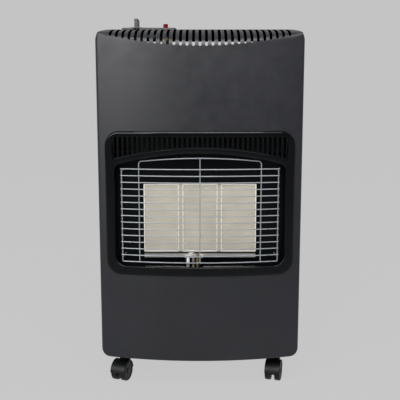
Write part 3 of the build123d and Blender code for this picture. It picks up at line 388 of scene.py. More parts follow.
# Colours are linear. coated: colour, roughness, marks of the grain per metre, depth of the grain in metres.
# metal: colour, roughness.
finishes = {
    "body_enamel": coated("body_enamel", (0.0128, 0.0133, 0.0168), 0.39, 2600.0, 0.000035, cloud=5.0),
    "tray_enamel": coated("tray_enamel", (0.016, 0.016, 0.018), 0.5, 2600.0, 0.000035),
    "gloss_enamel": coated("gloss_enamel", (0.0007, 0.0011, 0.0015), 0.09, 900.0, 0.000006, specular=0.3),
    "reflector_enamel": coated("reflector_enamel", (0.0018, 0.0027, 0.0036), 0.34, 1500.0, 0.00002,
                               specular=0.14),
    # The zinc's tone is near-black: painted shade for the heat shield, which lies in shade behind the
    # louvres.
    "plated_sheet": zinc("plated_sheet", (0.05, 0.05, 0.052), 0.55),
    "burner_steel": metal("burner_steel", (0.38, 0.37, 0.35), 0.5, depth=0.00002),
    # The lips' lighter colour is a painted highlight for the bright lines of light they catch.
    "frame_steel": lipped_frame("frame_steel", (0.48, 0.445, 0.375), (0.88, 0.85, 0.78)),
    "rail_steel": metal("rail_steel", (0.86, 0.84, 0.82), 0.42, brush=(0.04, 1.0, 1.0)),
    "guard_chrome": metal("guard_chrome", (0.3, 0.32, 0.335), 0.34, change=0.05, metallic=0.4),
    "plaque_ceramic": perforated_ceramic("plaque_ceramic", (0.575, 0.535, 0.45)),
    "electrode_glaze": coated("electrode_glaze", (0.93, 0.92, 0.89), 0.22, 700.0, 0.00001, coat=0.4),
    "sensor_steel": metal("sensor_steel", (0.56, 0.54, 0.52), 0.36),
    "brass": metal("brass", (0.42, 0.31, 0.16), 0.42),
    "valve_casting": metal("valve_casting", (0.28, 0.34, 0.36), 0.6, depth=0.00005, spots=500.0),
    "spindle_steel": metal("spindle_steel", (0.55, 0.55, 0.55), 0.3),
    "knob_plastic": coated("knob_plastic", (0.0638, 0.0646, 0.0680), 0.48, 2400.0, 0.00004),
    "bezel_plastic": coated("bezel_plastic", (0.050, 0.050, 0.054), 0.52, 2400.0, 0.00005),
    "black_plastic": coated("black_plastic", (0.016, 0.016, 0.017), 0.45, 2000.0, 0.00003),
    "red_plastic": coated("red_plastic", (0.12, 0.001, 0.003), 0.4, 1500.0, 0.00001, specular=0.08),
    "pipe_aluminium": metal("pipe_aluminium", (0.66, 0.66, 0.65), 0.34),
    "copper_capillary": metal("copper_capillary", (0.22, 0.11, 0.07), 0.4),
    "lead_silicone": coated("lead_silicone", (0.03, 0.03, 0.03), 0.6, 1500.0, 0.00003),
    "caster_plastic": coated("caster_plastic", (0.0045, 0.005, 0.006), 0.42, 2600.0, 0.00004,
                             specular=0.35),
    "wheel_plastic": coated("wheel_plastic", (0.004, 0.0045, 0.0055), 0.36, 1200.0, 0.00002,
                            specular=0.35),
    "pin_steel": metal("pin_steel", (0.55, 0.55, 0.54), 0.34),
    "screw_zinc": metal("screw_zinc", (0.22, 0.22, 0.23), 0.38),
}
# Near-black for the valve's left end and the pilot bracket's upright: painted shade for parts that lie in
# shade.
painted_shade_coat = coated("valve_and_bracket_painted_shade", (0.004, 0.004, 0.0045), 0.6, 1200.0, 0.00003, specular=0.15)
# Near-black for the panels' inner faces: painted shade for the dark inside of the cabinet.
inside_painted_shade = coated("enamel_inside_painted_shade", (0.005, 0.005, 0.0055), 0.7, 2000.0, 0.00003, specular=0.0)


# ---- front panel ----

def bow(x, proud=0.0):
    """Y of the bowed face: a circle of radius BOW_R + proud in plan, about the upright axis at BOW_Y."""
    return BOW_Y - np.sqrt((BOW_R + proud) ** 2 - x * x)


def shoulder_slopes():
    """Slopes at the points of SHOULDER: equal curvature where the cubic pieces meet, and known end slopes."""
    at, drop = np.array(SHOULDER).T
    step = np.diff(at)
    rise = np.diff(drop) / step
    count = len(at)
    system, known = np.eye(count), np.zeros(count)
    known[0], known[-1] = END_SLOPES
    for i in range(1, count - 1):
        system[i, i - 1:i + 2] = step[i], 2 * (step[i - 1] + step[i]), step[i - 1]
        known[i] = 3 * (step[i] * rise[i - 1] + step[i - 1] * rise[i])
    return np.linalg.solve(system, known)


SLOPES = shoulder_slopes()


def shoulder(y):
    """Height and slope of the shoulder at y: cubic pieces through SHOULDER, level past the crest."""
    at, drop = np.array(SHOULDER).T
    d = np.clip(np.asarray(y, float) - Y_FACE, at[0], at[-1])
    i = np.clip(np.searchsorted(at, d) - 1, 0, len(at) - 2)
    step = at[i + 1] - at[i]
    t = (d - at[i]) / step
    low, high = drop[i], drop[i + 1]
    m0, m1 = SLOPES[i] * step, SLOPES[i + 1] * step
    h = ((2 * t**3 - 3 * t**2 + 1) * low + (t**3 - 2 * t**2 + t) * m0
         + (-2 * t**3 + 3 * t**2) * high + (t**3 - t**2) * m1)
    slope = ((6 * t**2 - 6 * t) * low + (3 * t**2 - 4 * t + 1) * m0
             + (-6 * t**2 + 6 * t) * high + (3 * t**2 - 2 * t) * m1) / step
    over = h < 0
    return Z_CREST - np.where(over, 0.0, h), np.where(over, 0.0, -slope)


def face_profiles(x, z_start):
    """Side view of the panel at every x: up the face, round the crease on a ball's path, along the shoulder.

    The ball of the crease touches the face and the shoulder, and its place is found by halving. The third
    result is the length walked from the start."""
    face = bow(x)
    edge = HALF - EDGE_R
    reach = edge * BOW_R / (BOW_R - EDGE_R)
    roll = ROLL_MIDDLE + (ROLL_ENDS - ROLL_MIDDLE) * (x / HALF) ** 2
    radius = roll * np.sqrt(np.clip((reach - np.abs(x)) / ROLL_FADE, 0.0, 1.0)) + 1e-4
    low, high = face.copy(), face + 3 * radius
    for _ in range(50):
        mid = (low + high) / 2
        slope = shoulder(mid)[1]
        back = mid + radius * slope / np.sqrt(1 + slope**2) < face + radius
        low, high = np.where(back, mid, low), np.where(back, high, mid)
    z, slope = shoulder(low)
    centre_z = z - radius / np.sqrt(1 + slope**2)
    lean = np.arctan2(1.0, slope)
    turn = lean[None] * np.linspace(0, 1, 25)[:, None]
    roll_y = face + radius - radius * np.cos(turn)
    roll_z = centre_z + radius * np.sin(turn)
    rest_y = low + (Y_SEAM - low) * np.linspace(0, 1, 120)[1:, None]
    rest_z = shoulder(rest_y)[0]
    y = np.vstack([face[None], roll_y, rest_y])
    z = np.vstack([np.full_like(face, z_start)[None], roll_z, rest_z])
    steps = np.hypot(np.diff(y, axis=0), np.diff(z, axis=0))
    return y, z, np.vstack([np.zeros_like(face)[None], np.cumsum(steps, axis=0)])


def round_end(x, pitch, width):
    """How far the rounded end of a slot stands back from its line at x, in a row of slots about x = 0."""
    half = width / 2
    near = np.round(x / pitch) * pitch
    off = np.clip(np.abs(x - near) / half, 0.0, 1.0)
    return half * (1 - np.sqrt(1 - off**2))


def slot_columns(count, pitch, width):
    """Middles of the slots in a row about x = 0, and the columns of a grid that follow the slots' sides."""
    slots = (np.arange(count) - (count - 1) / 2) * pitch
    columns = (slots[:, None] + CROSS * width / 2).ravel()
    return slots, np.sort(np.concatenate([columns, (slots[:-1] + slots[1:]) / 2]))


def in_slots(x, pitch, width):
    """Says which quads between the columns lie in a slot."""
    middle = (x[:-1] + x[1:]) / 2
    return np.abs(middle - np.round(middle / pitch) * pitch) < width / 2


def front_panel():
    """Bowed face and shoulder as one grid, and its rolled edge, sides and bottom as a second that meets it.

    Columns of the first follow the slots, rows follow the slots' ends. The second runs round the outline: at
    each point a ball rolls from the face to the side, on the arc between the two surfaces' directions."""
    edge, corner = HALF - EDGE_R, CORNER_R - EDGE_R
    grow = BOW_R / (BOW_R - EDGE_R)
    bend = np.radians([0.0, 22.5, 45.0, 67.5, 90.0])
    corner_x = HALF - CORNER_R + corner * np.sin(bend)
    corner_z = Z_LOW + CORNER_R - corner * np.cos(bend)
    slots, inner = slot_columns(GRILLE_COUNT, GRILLE_PITCH, GRILLE_SLOT)
    window, beside = 184.0, 189.0       # columns between the last slot and the rolled edge
    taper = 182.0                       # from here the columns lean in to the round upper corner
    side_x = np.concatenate([[window, beside], corner_x * grow])
    x = np.concatenate([-side_x[::-1], inner, side_x])
    last = edge * grow
    margin = np.clip((np.abs(x) - window) / (last - window), 0.0, 1.0)

    # rolled edge, side and top corner, column by column
    ball_y = BOW_Y - math.sqrt((BOW_R - EDGE_R) ** 2 - edge**2)
    turn = np.linspace(math.asin(edge / (BOW_R - EDGE_R)), math.pi / 2, 8)
    side_y = np.concatenate([ball_y - EDGE_R * np.cos(turn), np.linspace(ball_y, GRILLE_Y, 8)[1:],
                             np.linspace(GRILLE_Y, Y_SEAM, 6)[1:]])
    straight_x = np.concatenate([edge + EDGE_R * np.sin(turn), np.full(12, HALF)])
    share = np.clip((straight_x - last) / (HALF - last), 0.0, 1.0)
    top_z = shoulder(side_y)[0]
    rise = np.arcsin(np.clip((top_z - Z_CREST + TOP_R) / TOP_R, 0.0, 1.0))

    def pulled(z):
        """X of the side's columns at a height, drawn in by the round upper corner."""
        over = np.clip(z - Z_CREST + TOP_R, 0.0, TOP_R)
        return straight_x - share * (TOP_R - np.sqrt(TOP_R**2 - over**2))

    levels = np.array([Z_LOW + CORNER_R, 110.0, 150.0, 200.0, 261.0, 330.0, 400.0, 470.0, 540.0, 600.0, 650.0,
                       700.0])
    hole_low, hole_high = 5, 9          # rows at 261 and 540: between them the panel is open for the burners
    upper_z = np.array([np.full_like(top_z, 716.0), np.full_like(top_z, Z_CREST - TOP_R)]
                       + [Z_CREST - TOP_R + TOP_R * np.sin(rise * k / 5) for k in range(1, 6)])
    side_z = np.vstack([np.repeat(levels[:, None], len(side_y), axis=1), upper_z])

    # face and shoulder
    y, z, length = face_profiles(x, levels[-1])
    plain_foot = GRILLE_LOW + GRILLE_ARC_R - np.sqrt(GRILLE_ARC_R**2 - x * x)
    inside = np.abs(x) < window
    slot_foot = plain_foot + round_end(x, GRILLE_PITCH, GRILLE_SLOT)
    foot = np.where(inside, slot_foot, (1 - margin) * plain_foot + margin * top_z[0])
    parts = np.array([0.3, 0.55, 0.66, 0.76, 0.85, 0.93, 1.0])[:, None]
    foot_row = len(levels) + len(parts)
    head_row = foot_row + SLOT_ROWS
    rows_z = (1 - margin) * (levels[-1] + parts * (foot - levels[-1])) + margin * upper_z[:, :1]
    every = range(len(x))
    rows_y = np.array([np.interp(rows_z[:, k], z[:, k], y[:, k]) for k in every]).T
    foot_at = np.array([np.interp(foot[k], z[:, k], length[:, k]) for k in every])
    head_at = np.array([np.interp(GRILLE_Y, y[:, k], length[:, k]) for k in every])
    ring_at = np.interp(side_y[:SLOT_ROWS + 1], y[:, -1], length[:, -1])
    ring_part = (ring_at - ring_at[0]) / (ring_at[-1] - ring_at[0])
    part = (1 - margin) * (np.arange(1, SLOT_ROWS + 1) / SLOT_ROWS)[:, None] + margin * ring_part[1:, None]
    at = foot_at + part * (head_at - foot_at)
    slot_y = np.array([np.interp(at[:, k], length[:, k], y[:, k]) for k in every]).T
    slot_z = np.array([np.interp(at[:, k], length[:, k], z[:, k]) for k in every]).T
    crest_y = np.repeat(np.linspace(GRILLE_Y, Y_SEAM, 6)[1:, None], len(x), axis=1)
    low_z = np.interp(np.abs(x), corner_x * grow, corner_z)
    all_y = np.vstack([np.repeat(bow(x)[None], 1 + len(levels), axis=0), rows_y, slot_y, crest_y])
    level_z = np.repeat(levels[:, None], len(x), axis=1)
    all_z = np.vstack([low_z, level_z, rows_z, slot_z, shoulder(crest_y)[0]])
    top_x = pulled(top_z)
    reach = np.interp(all_y, side_y, top_x)
    outer = np.abs(x) > taper
    part_x = (np.abs(x) - taper) / (last - taper)
    over_row = (np.arange(len(all_y)) >= foot_row)[:, None]
    all_x = np.where(outer & over_row, np.sign(x) * (taper + part_x * (reach - taper)), x)
    face = stack(all_x, all_y, all_z)

    middle = np.abs(x[:-1] + x[1:]) / 2
    in_slot = in_slots(x, GRILLE_PITCH, GRILLE_SLOT) & (middle < slots[-1] + GRILLE_SLOT / 2)
    row = np.arange(len(all_y) - 1)[:, None]
    cut = in_slot & (row >= foot_row) & (row < head_row)
    cut |= (middle < window) & (row >= hole_low) & (row < hole_high)
    patches = [grid(face, keep=~cut)]

    # ring of the edge: left side down, bottom to the right, right side up
    extra = np.array([-window, window, -beside, beside]) / grow
    across = np.unique(np.concatenate([-corner_x[:1], x[inside] / grow, corner_x[:1], extra]))
    ring_x = np.concatenate([-corner_x[:0:-1], across, corner_x[1:]])
    ring_z = np.concatenate([corner_z[:0:-1], np.full(len(across), Z_LOW + EDGE_R), corner_z[1:]])
    way = np.concatenate([-bend[:0:-1], np.zeros(len(across)), bend[1:]])
    out = stack(np.sin(way), 0.0, -np.cos(way))
    lean = np.arcsin(ring_x / (BOW_R - EDGE_R))
    ahead = stack(np.sin(lean), -np.cos(lean), 0.0)
    centre = stack(ring_x, BOW_Y - np.sqrt((BOW_R - EDGE_R) ** 2 - ring_x**2), ring_z)
    between = np.arccos(np.clip((out * ahead).sum(-1), -1, 1))[None, :, None]
    step = np.linspace(0, 1, 8)[:, None, None]
    ball = (np.sin((1 - step) * between) * ahead + np.sin(step * between) * out) / np.sin(between)
    roll = centre + EDGE_R * ball
    back = [roll[-1] + (0, 1, 0) * (GRILLE_Y - roll[-1][:, 1:2]) * k / 7 for k in range(1, 8)]
    back += [np.where([False, True, False], Y_SEAM + (GRILLE_Y - Y_SEAM) * (1 - k / 5), back[6])
             for k in range(1, 6)]
    bottom = np.concatenate([roll, np.array(back)])
    right = stack(np.array([pulled(row_z) for row_z in side_z]).T, side_y[:, None], side_z.T)
    left = right * (-1, 1, 1)
    patches.append(grid(np.concatenate([left[:, ::-1], bottom[:, 1:-1], right], axis=1), flip=True))
    return patches


def top_panel():
    """Flat top with two rounded long edges: the outline's upper part carried from the seam to the rear."""
    turn = arc((HALF - TOP_R, Z_CREST - TOP_R), TOP_R, 0.0, 90.0, 11)
    flat = np.linspace((-150.0, Z_CREST), (150.0, Z_CREST), 5)
    outline = np.vstack([turn * (-1, 1), flat, turn[::-1]])
    y = np.array([Y_SEAM + SEAT, -20.0, 60.0, Y_REAR])[:, None]
    return [grid(stack(outline[:, 0], y, outline[:, 1]))]


# ---- burner surround ----

def surround_lines():
    """Pairs of points, on the opening and on the outline, that the surround's surface runs between.

    They go round clockwise from the upper left: upright lines that follow the louvres, then fans at the
    corners and level or upright lines along the sides and the bottom."""
    x = slot_columns(LOUVRE_COUNT, LOUVRE_PITCH, LOUVRE_SLOT)[1]
    far = np.abs(x)
    arch = ARCH_TOP - ARCH_R + np.sqrt(ARCH_R**2 - x * x)
    turn_x = OPEN_HALF - ARCH_CORNER
    turn_z = ARCH_TOP - ARCH_R + math.sqrt((ARCH_R - ARCH_CORNER) ** 2 - turn_x**2)
    meet = turn_x * ARCH_R / (ARCH_R - ARCH_CORNER)
    fillet = turn_z + np.sqrt(ARCH_CORNER**2 - np.clip(far - turn_x, 0, ARCH_CORNER) ** 2)
    low = np.where(far > meet, fillet, arch)
    edge_x = SUR_HALF - SUR_R
    high = SUR_Z1 - SUR_R + np.sqrt(SUR_R**2 - np.clip(far - edge_x, 0, SUR_R) ** 2)
    top_in, top_out = stack(x, low), stack(x, high)

    fan_z = turn_z - 9.0                # the upper fans end here and the level lines begin
    fan_in = stack(np.full(FAN, OPEN_HALF), np.linspace(turn_z, fan_z, FAN))
    start = math.degrees(math.acos((far[-1] - edge_x) / SUR_R))
    turn = arc((edge_x, SUR_Z1 - SUR_R), SUR_R, start, 0.0, 10)[1:]
    fan_out = np.vstack([turn, np.linspace((SUR_HALF, SUR_Z1 - SUR_R), (SUR_HALF, fan_z), 5)[1:]])
    side = np.linspace(fan_z, OPEN_Z0 + OPEN_R, 9)[1:-1]
    foot_in = arc((OPEN_HALF - OPEN_R, OPEN_Z0 + OPEN_R), OPEN_R, 0.0, -90.0, FAN)
    run = [(SUR_HALF, OPEN_Z0 + OPEN_R)] + list(arc((edge_x, SUR_Z0 + SUR_R), SUR_R, 0.0, -90.0, 25))
    run = np.array(run + [(OPEN_HALF - OPEN_R, SUR_Z0)])
    walked = np.concatenate([[0], np.cumsum(np.linalg.norm(np.diff(run, axis=0), axis=1))])
    want = np.linspace(0, walked[-1], FAN)
    foot_out = stack(np.interp(want, walked, run[:, 0]), np.interp(want, walked, run[:, 1]))
    base = np.linspace(OPEN_HALF - OPEN_R, 0.0, 13)[1:]
    right_in = np.vstack([fan_in, stack(OPEN_HALF, side), foot_in, stack(base, OPEN_Z0)])
    right_out = np.vstack([fan_out, stack(SUR_HALF, side), foot_out, stack(base, SUR_Z0)])
    flip = np.array([-1.0, 1.0])
    inner = np.vstack([top_in, right_in, right_in[-2::-1] * flip])
    outer = np.vstack([top_out, right_out, right_out[-2::-1] * flip])
    return inner, outer, len(x)


def burner_surround():
    """Pressed surround: rows from the inner lip over a quarter-round roll, the face and the rim to the panel.

    apart is a row's distance from the opening's edge along the lines, and height its distance off the bowed
    face. The louvre field lies RECESS_DEPTH lower. Quads inside the louvres are left out."""
    inner, outer, top = surround_lines()
    run = outer - inner
    width = np.linalg.norm(run, axis=1)
    way = run / width[:, None]
    x, low = inner[:top].T
    arc_z = LOUVRE_ARC_TOP - LOUVRE_ARC_R + np.sqrt(LOUVRE_ARC_R**2 - x * x)
    far = np.abs(x)
    into_corner = np.clip(far - RECESS_HALF + RECESS_R, 0, RECESS_R)
    edge_z = RECESS_TOP - RECESS_R + np.sqrt(RECESS_R**2 - into_corner**2)
    lip = LIP_ROLL_LOW + (LIP_ROLL - LIP_ROLL_LOW) * np.clip((inner[:, 1] - OPEN_Z0) / LIP_RISE, 0.0, 1.0)
    start, end = low + LIP_ROLL, outer[:top, 1] - RIM_ROLL
    back = round_end(x, LOUVRE_PITCH, LOUVRE_SLOT)
    lines = np.array([
        start, *(arc_z - under for under in UNDER_LOUVRES), arc_z + back, (arc_z + LOUVRE_TOP) / 2,
        LOUVRE_TOP - back, edge_z - RECESS_WALL, edge_z, end])
    field = np.sort(lines, axis=0) - low
    fan = np.linspace(0, 1, FAN) ** 0.7     # how far the fans' rows are evened out, line by line
    top_part = (field[:, -1] - field[0, -1]) / (field[-1, -1] - field[0, -1])
    even = np.linspace(0, 1, len(field))
    rest = len(inner) - top
    part = np.repeat(even[:, None], rest, axis=1)
    part[:, :FAN] = (1 - fan) * top_part[:, None] + fan * even[:, None]
    part[:, 1 - FAN:] = part[:, FAN - 2::-1]
    span = width[top:] - lip[top:] - RIM_ROLL
    field = np.hstack([field, lip[top:] + part * span])
    sunk = np.zeros(len(field))
    sunk[3:8] = RECESS_DEPTH
    deep = np.zeros(len(inner))         # 1 on the lines that cross the louvre field
    deep[:top] = 1.0
    deep[[top, -1]] = 1.0
    turn = np.linspace(0, math.pi / 2, 7)[:, None]
    level = np.ones((1, len(inner)))
    apart = np.vstack([0 * level, lip * (1 - np.cos(turn)), field[1:-1],
                       width - RIM_ROLL + RIM_ROLL * np.sin(turn), width[None], width[None]])
    height = np.vstack([(SUR_PROUD - LIP_DEEP + LIP_DEEP * np.sin(turn)) * level,
                        SUR_PROUD - sunk[1:-1, None] * deep,
                        (SUR_PROUD - RIM_DEEP + RIM_DEEP * np.cos(turn)) * level, SEAT * level, SEAT * level])
    spot = inner[None] + way[None] * apart[..., None]
    y = bow(spot[1:-1, :, 0], height[:len(spot) - 2])
    y = np.vstack([np.full((1, len(inner)), Y_LIP), y, bow(spot[-1:, :, 0], SEAT)])
    points = stack(spot[..., 0], y, spot[..., 1])
    cut = np.zeros((len(points) - 1, len(inner)), bool)
    first = 1 + len(turn) + len(UNDER_LOUVRES)      # past the lip's rows and those under the louvres
    cut[first:first + 2, :top - 1] = in_slots(x, LOUVRE_PITCH, LOUVRE_SLOT)
    return [grid(points, keep=~cut, loop=True)]


# ---- wire guard ----

def wire_guard():
    """Bowed laterals in front of the upright wires: arcs parallel to the face, each a circle along its path.

    The outer loop rises to a low arch, with round bends at its corners."""
    def behind(x):
        """Y of the wires that stand behind the laterals."""
        return bow(x) - WIRE_PROUD + 2 * WIRE_R - WIRE_SINK

    foot = WIRE_BOTTOM - WIRE_OVER
    wires = []
    for i, z in enumerate(np.linspace(WIRE_BOTTOM, WIRE_TOP, WIRE_COUNT)):
        half = GUARD_HALF if i else GUARD_HALF - LOW_WIRE_IN
        x = np.linspace(-half, half, 33)
        wires.append(tube(stack(x, bow(x) - WIRE_PROUD, z), across=(0, 0, 1)))
    for side in (-1, 1):
        x = side * (GUARD_HALF - SIDE_WIRE_IN)
        wires.append(tube(stack(x, behind(x), np.linspace(foot, WIRE_TOP + WIRE_OVER, 3))))
        for z in LEG_Z:
            run = np.linspace((x, behind(x)), (side * LEG_HOLE_X, LEG_Y), 3)
            wires.append(tube(stack(run[:, 0], run[:, 1], z), across=(0, 0, 1)))
    wires.append(tube(stack(0.0, behind(0.0), np.linspace(foot, LOOP_TOP, 3))))
    spring, corner = LOOP_CORNER - LOOP_BEND, LOOP_HALF - LOOP_BEND
    rise = LOOP_TOP - LOOP_CORNER
    radius = (corner**2 + rise**2) / (2 * rise)
    tilt = math.degrees(math.asin(corner / radius))
    bend = arc((corner, spring), LOOP_BEND, 0.0, 90.0 - tilt, 8)
    crown = arc((0.0, LOOP_TOP - radius), radius, 90.0 - tilt, 90.0, 12)[1:]
    half = np.vstack([[(LOOP_HALF, foot), (LOOP_HALF, spring - 60.0)], bend, crown])
    loop = np.vstack([half * (-1, 1), half[-2::-1]])
    wires.append(tube(stack(loop[:, 0], behind(loop[:, 0]), loop[:, 1])))
    return wires


# ---- burners ----

def plaque(index):
    """Ceramic tile: a front face, level but for a low step round its rim, and straight sides.

    The rim's rings are rectangles, by how far each lies inwards and behind the front face."""
    x = index * BURNER_PITCH
    half = np.array([PLAQUE_W / 2, PLAQUE_H / 2])
    inset = np.array([0.0, 0.0, 0.3, 1.6, 2.2])
    back = np.array([PLAQUE_T, 0.9, 0.25, 0.25, 0.0])
    corner = np.array([(-1, -1), (1, -1), (1, 1), (-1, 1)])
    rim = corner[None] * (half - inset[:, None])[:, None, :]
    points = stack(x + rim[..., 0], Y_PLAQUE + back[:, None], BURNER_Z + rim[..., 1])
    span = np.linspace(-1, 1, 2)
    inner = half - inset[-1]
    field = stack(x + inner[0] * span[None], Y_PLAQUE, BURNER_Z + inner[1] * span[:, None])
    rear = stack(x + half[0] * span[None], Y_PLAQUE + PLAQUE_T, BURNER_Z + half[1] * span[:, None])
    return [grid(points, loop=True), grid(field), grid(rear, flip=True)]


# ---- casters ----

def caster_place(tag, points):
    """Turns points of a caster, drawn round its stem, to the caster's own place and direction."""
    x, y, yaw = CASTERS[tag]
    c, s = math.cos(math.radians(yaw)), math.sin(math.radians(yaw))
    turn = np.array([(c, s, 0.0), (-s, c, 0.0), (0.0, 0.0, 1.0)])
    return points @ turn + (x, y, 0.0)


def caster_wheel(side):
    """Turned wheel: crowned tread, a rounded rim, a dished outer face with a low hub cap."""
    w, bore_r = WHEEL_W, AXLE_R + 0.05
    tread = arc((WHEEL_R - 2.4, w - 2.4), 2.4, 0.0, 90.0, 6)
    inner = arc((WHEEL_R - 1.8, 1.8), 1.8, -90.0, 0.0, 5)
    profile = np.vstack([
        (bore_r, 0.0), inner, (WHEEL_R, w * 0.5), tread,
        [(WHEEL_R - 3.4, w - 0.1), (WHEEL_R - 4.2, w - 1.0), (8.0, w - 1.5), (7.0, w - 1.2), (6.2, w - 0.3),
         (5.4, w), (0.0, w)]])
    origin = (side * WHEEL_GAP / 2, -TRAIL, WHEEL_R)
    bore = [(bore_r, 0.0), (bore_r, w - 3.0), (0.0, w - 3.0)]
    return [turned(line, origin, (side, 0, 0)) for line in (profile, bore)]


# ---- the object ----

# The panels' inner faces take the near-black painted shade.
soften(wall(piece("front_panel_skin", front_panel(), "front_panel"), SHEET, inside_painted_shade), 0.5, angle=50.0)
wall(piece("top_panel_skin", top_panel(), "top_panel"), SHEET, inside_painted_shade)
soften(wall(piece("surround_skin", burner_surround(), "burner_surround"), SUR_SHEET), 0.4, angle=50.0)
piece("guard_wires", wire_guard(), "wire_guard", closed=True)
for index, name in ((-1, "left"), (0, "centre"), (1, "right")):
    soften(piece("plaque_tile_" + name, plaque(index), "plaque_" + name, closed=True), 0.3)
for tag in CASTERS:
    for side, name in ((-1, "a"), (1, "b")):
        made = [(caster_place(tag, points), quads) for points, quads in caster_wheel(side)]
        piece("wheel_" + tag + "_" + name, made, "caster_" + tag + "_wheel_" + name, closed=True)


def dress(node):
    """Gives a CAD node its finish, with its loose triangles joined and its curved faces shaded smooth."""
    made = nodes_cad[node]
    made.data.materials.clear()
    made.data.materials.append(finishes[slot_of[node]])
    made.data.polygons.foreach_set("use_smooth", np.ones(len(made.data.polygons), bool))
    weld = made.modifiers.new("weld", "WELD")
    weld.merge_threshold = MERGE
    if node in ROLLED:
        rounded(made, "roll", ROLLED[node], 3, 50.0)
    split = made.modifiers.new("split", "EDGE_SPLIT")
    split.split_angle = math.radians(NODE_SHARP)
    flat_shading(made)


def paint_shade_below(node, coat, axis, edge):
    """Gives the faces of a CAD node whose middle lies below a number along an axis a finish of their own:
    near-black, as painted shade.
    """
    mesh = nodes_cad[node].data
    mesh.materials.append(coat)
    centre = np.empty(3 * len(mesh.polygons))
    mesh.polygons.foreach_get("center", centre)
    mesh.polygons.foreach_set("material_index", (centre[axis::3] < edge * 0.001).astype(np.int32))


for node in nodes_cad:
    if not nodes_cad[node].hide_render:
        dress(node)
# Painted shade: the valve's left end and the bracket's upright get the near-black finish.
paint_shade_below("gas_valve", painted_shade_coat, 0, VALVE_SHADE_EDGE)
paint_shade_below("pilot_bracket", painted_shade_coat, 2, BRACKET_SHADE_EDGE)


# ---- camera, stage and light, in metres ----

SENSOR, LENS = 36.0, 57.87          # millimetres
CAMERA_AT, LOOKS_DOWN = (0.0, -1.487, 0.602), 8.42
BACKDROP = 0.552                    # grey of the backdrop
REAR, ROOM = 0.44, 0.07             # the studio behind and in front of the object, as gloss shows it
PAPER = 0.27                        # the floor in front of the object, as gloss shows it
ROOM_TO_REAR = (-0.9, 0.2)          # y of a direction, between which the room goes over into the rear
PAPER_TO_REAR = (-1.8, 0.4)         # y on the floor, between which the paper goes over into the rear
AMBIENT = 0.32                      # light from all round, on surfaces that scatter it
FLOOR_WHITE = 0.72
FLOOR_GLOW = 0.566                  # so that the floor meets the backdrop without a line
FLOOR_SHARE, GLOSS_SHARE = 0.96, 0.93    # of the glow in the floor, for the camera and for gloss
FLOOR_REACH = 30000.0               # millimetres
LAMPS = {                           # place, aim, width, height, power in watts
    "key": ((-1.55, -2.1, 1.30), (0.0, 0.0, 0.4), 1.6, 1.3, 31.0),
    "front": ((0.35, -2.3, 1.75), (0.0, 0.0, 0.45), 2.6, 0.5, 24.0),
    "high": ((0.0, -1.5, 2.3), (0.0, 0.0, 0.6), 2.0, 0.35, 38.0),
}

lens = bpy.data.cameras.new("camera")
lens.sensor_width = SENSOR
lens.lens = LENS
camera = bpy.data.objects.new("camera", lens)
camera.location = CAMERA_AT
camera.rotation_euler = (math.radians(90.0 - LOOKS_DOWN), 0.0, 0.0)
scene.collection.objects.link(camera)
scene.camera = camera

scene.view_settings.view_transform = "Standard"


def studio_level(tree, place, front, between):
    """The studio as gloss shows it, from its level in front to its level behind the object."""
    apart = tree.nodes.new("ShaderNodeSeparateXYZ")
    tree.links.new(place, apart.inputs["Vector"])
    return spread(tree, apart.outputs["Y"], front, REAR, *between)


def choose(tree, switch, off, on):
    """One of two numbers, each a plain value or a socket."""
    made = tree.nodes.new("ShaderNodeMix")
    tree.links.new(switch, made.inputs["Factor"])
    for socket, value in (("A", off), ("B", on)):
        if isinstance(value, float):
            made.inputs[socket].default_value = value
        else:
            tree.links.new(value, made.inputs[socket])
    return made.outputs["Result"]


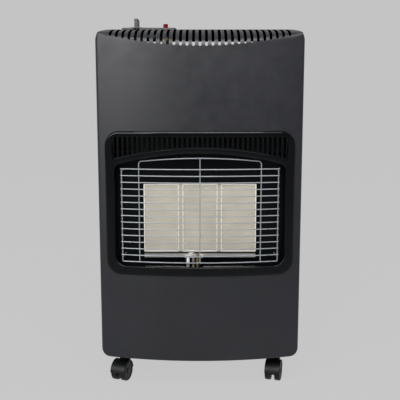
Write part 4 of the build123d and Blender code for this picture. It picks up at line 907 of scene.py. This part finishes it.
def studio_world():
    """Even light from all round, with the backdrop behind it for the camera."""
    world = bpy.data.worlds.new("studio")
    scene.world = world
    world.use_nodes = True
    tree = world.node_tree
    rays = tree.nodes.new("ShaderNodeLightPath")
    place = tree.nodes.new("ShaderNodeTexCoord").outputs["Generated"]
    gloss = studio_level(tree, place, ROOM, ROOM_TO_REAR)
    through = choose(tree, rays.outputs["Is Transmission Ray"], AMBIENT, BACKDROP)
    level = choose(tree, rays.outputs["Is Glossy Ray"], through, gloss)
    seen = choose(tree, rays.outputs["Is Camera Ray"], level, BACKDROP)
    tree.links.new(seen, tree.nodes["Background"].inputs["Strength"])
    tree.nodes["Background"].inputs["Color"].default_value = (1.0, 1.0, 1.0, 1.0)


def floor():
    """Level floor, wide enough to reach the horizon."""
    span = np.linspace(-FLOOR_REACH, FLOOR_REACH, 3)
    made = bpy.data.objects.new("floor", mesh_of("floor", [grid(stack(span[None], span[:, None], 0.0))]))
    scene.collection.objects.link(made)
    finish = bpy.data.materials.new("floor")
    finish.use_nodes = True
    tree = finish.node_tree
    tree.nodes.clear()
    paper = tree.nodes.new("ShaderNodeBsdfDiffuse")
    paper.inputs["Color"].default_value = (FLOOR_WHITE, FLOOR_WHITE, FLOOR_WHITE, 1.0)
    glow = tree.nodes.new("ShaderNodeEmission")
    rays = tree.nodes.new("ShaderNodeLightPath")
    place = tree.nodes.new("ShaderNodeTexCoord").outputs["Object"]
    gloss = studio_level(tree, place, PAPER, PAPER_TO_REAR)
    tree.links.new(choose(tree, rays.outputs["Is Glossy Ray"], FLOOR_GLOW, gloss), glow.inputs["Strength"])
    mixed = tree.nodes.new("ShaderNodeMixShader")
    camera_part = choose(tree, rays.outputs["Is Camera Ray"], 0.0, FLOOR_SHARE)
    tree.links.new(choose(tree, rays.outputs["Is Glossy Ray"], camera_part, GLOSS_SHARE), mixed.inputs["Fac"])
    tree.links.new(paper.outputs[0], mixed.inputs[1])
    tree.links.new(glow.outputs[0], mixed.inputs[2])
    out = tree.nodes.new("ShaderNodeOutputMaterial")
    tree.links.new(mixed.outputs[0], out.inputs["Surface"])
    made.data.materials.append(finish)


def lamp(name, place, aim, width, height, power):
    """Soft rectangular light aimed at a point."""
    light = bpy.data.lights.new(name, "AREA")
    light.shape = "RECTANGLE"
    light.size, light.size_y = width, height
    light.energy = power
    made = bpy.data.objects.new(name, light)
    made.location = place
    made.rotation_euler = (Vector(aim) - Vector(place)).to_track_quat("-Z", "Y").to_euler()
    scene.collection.objects.link(made)


studio_world()
floor()
for name, values in LAMPS.items():
    lamp(name, *values)
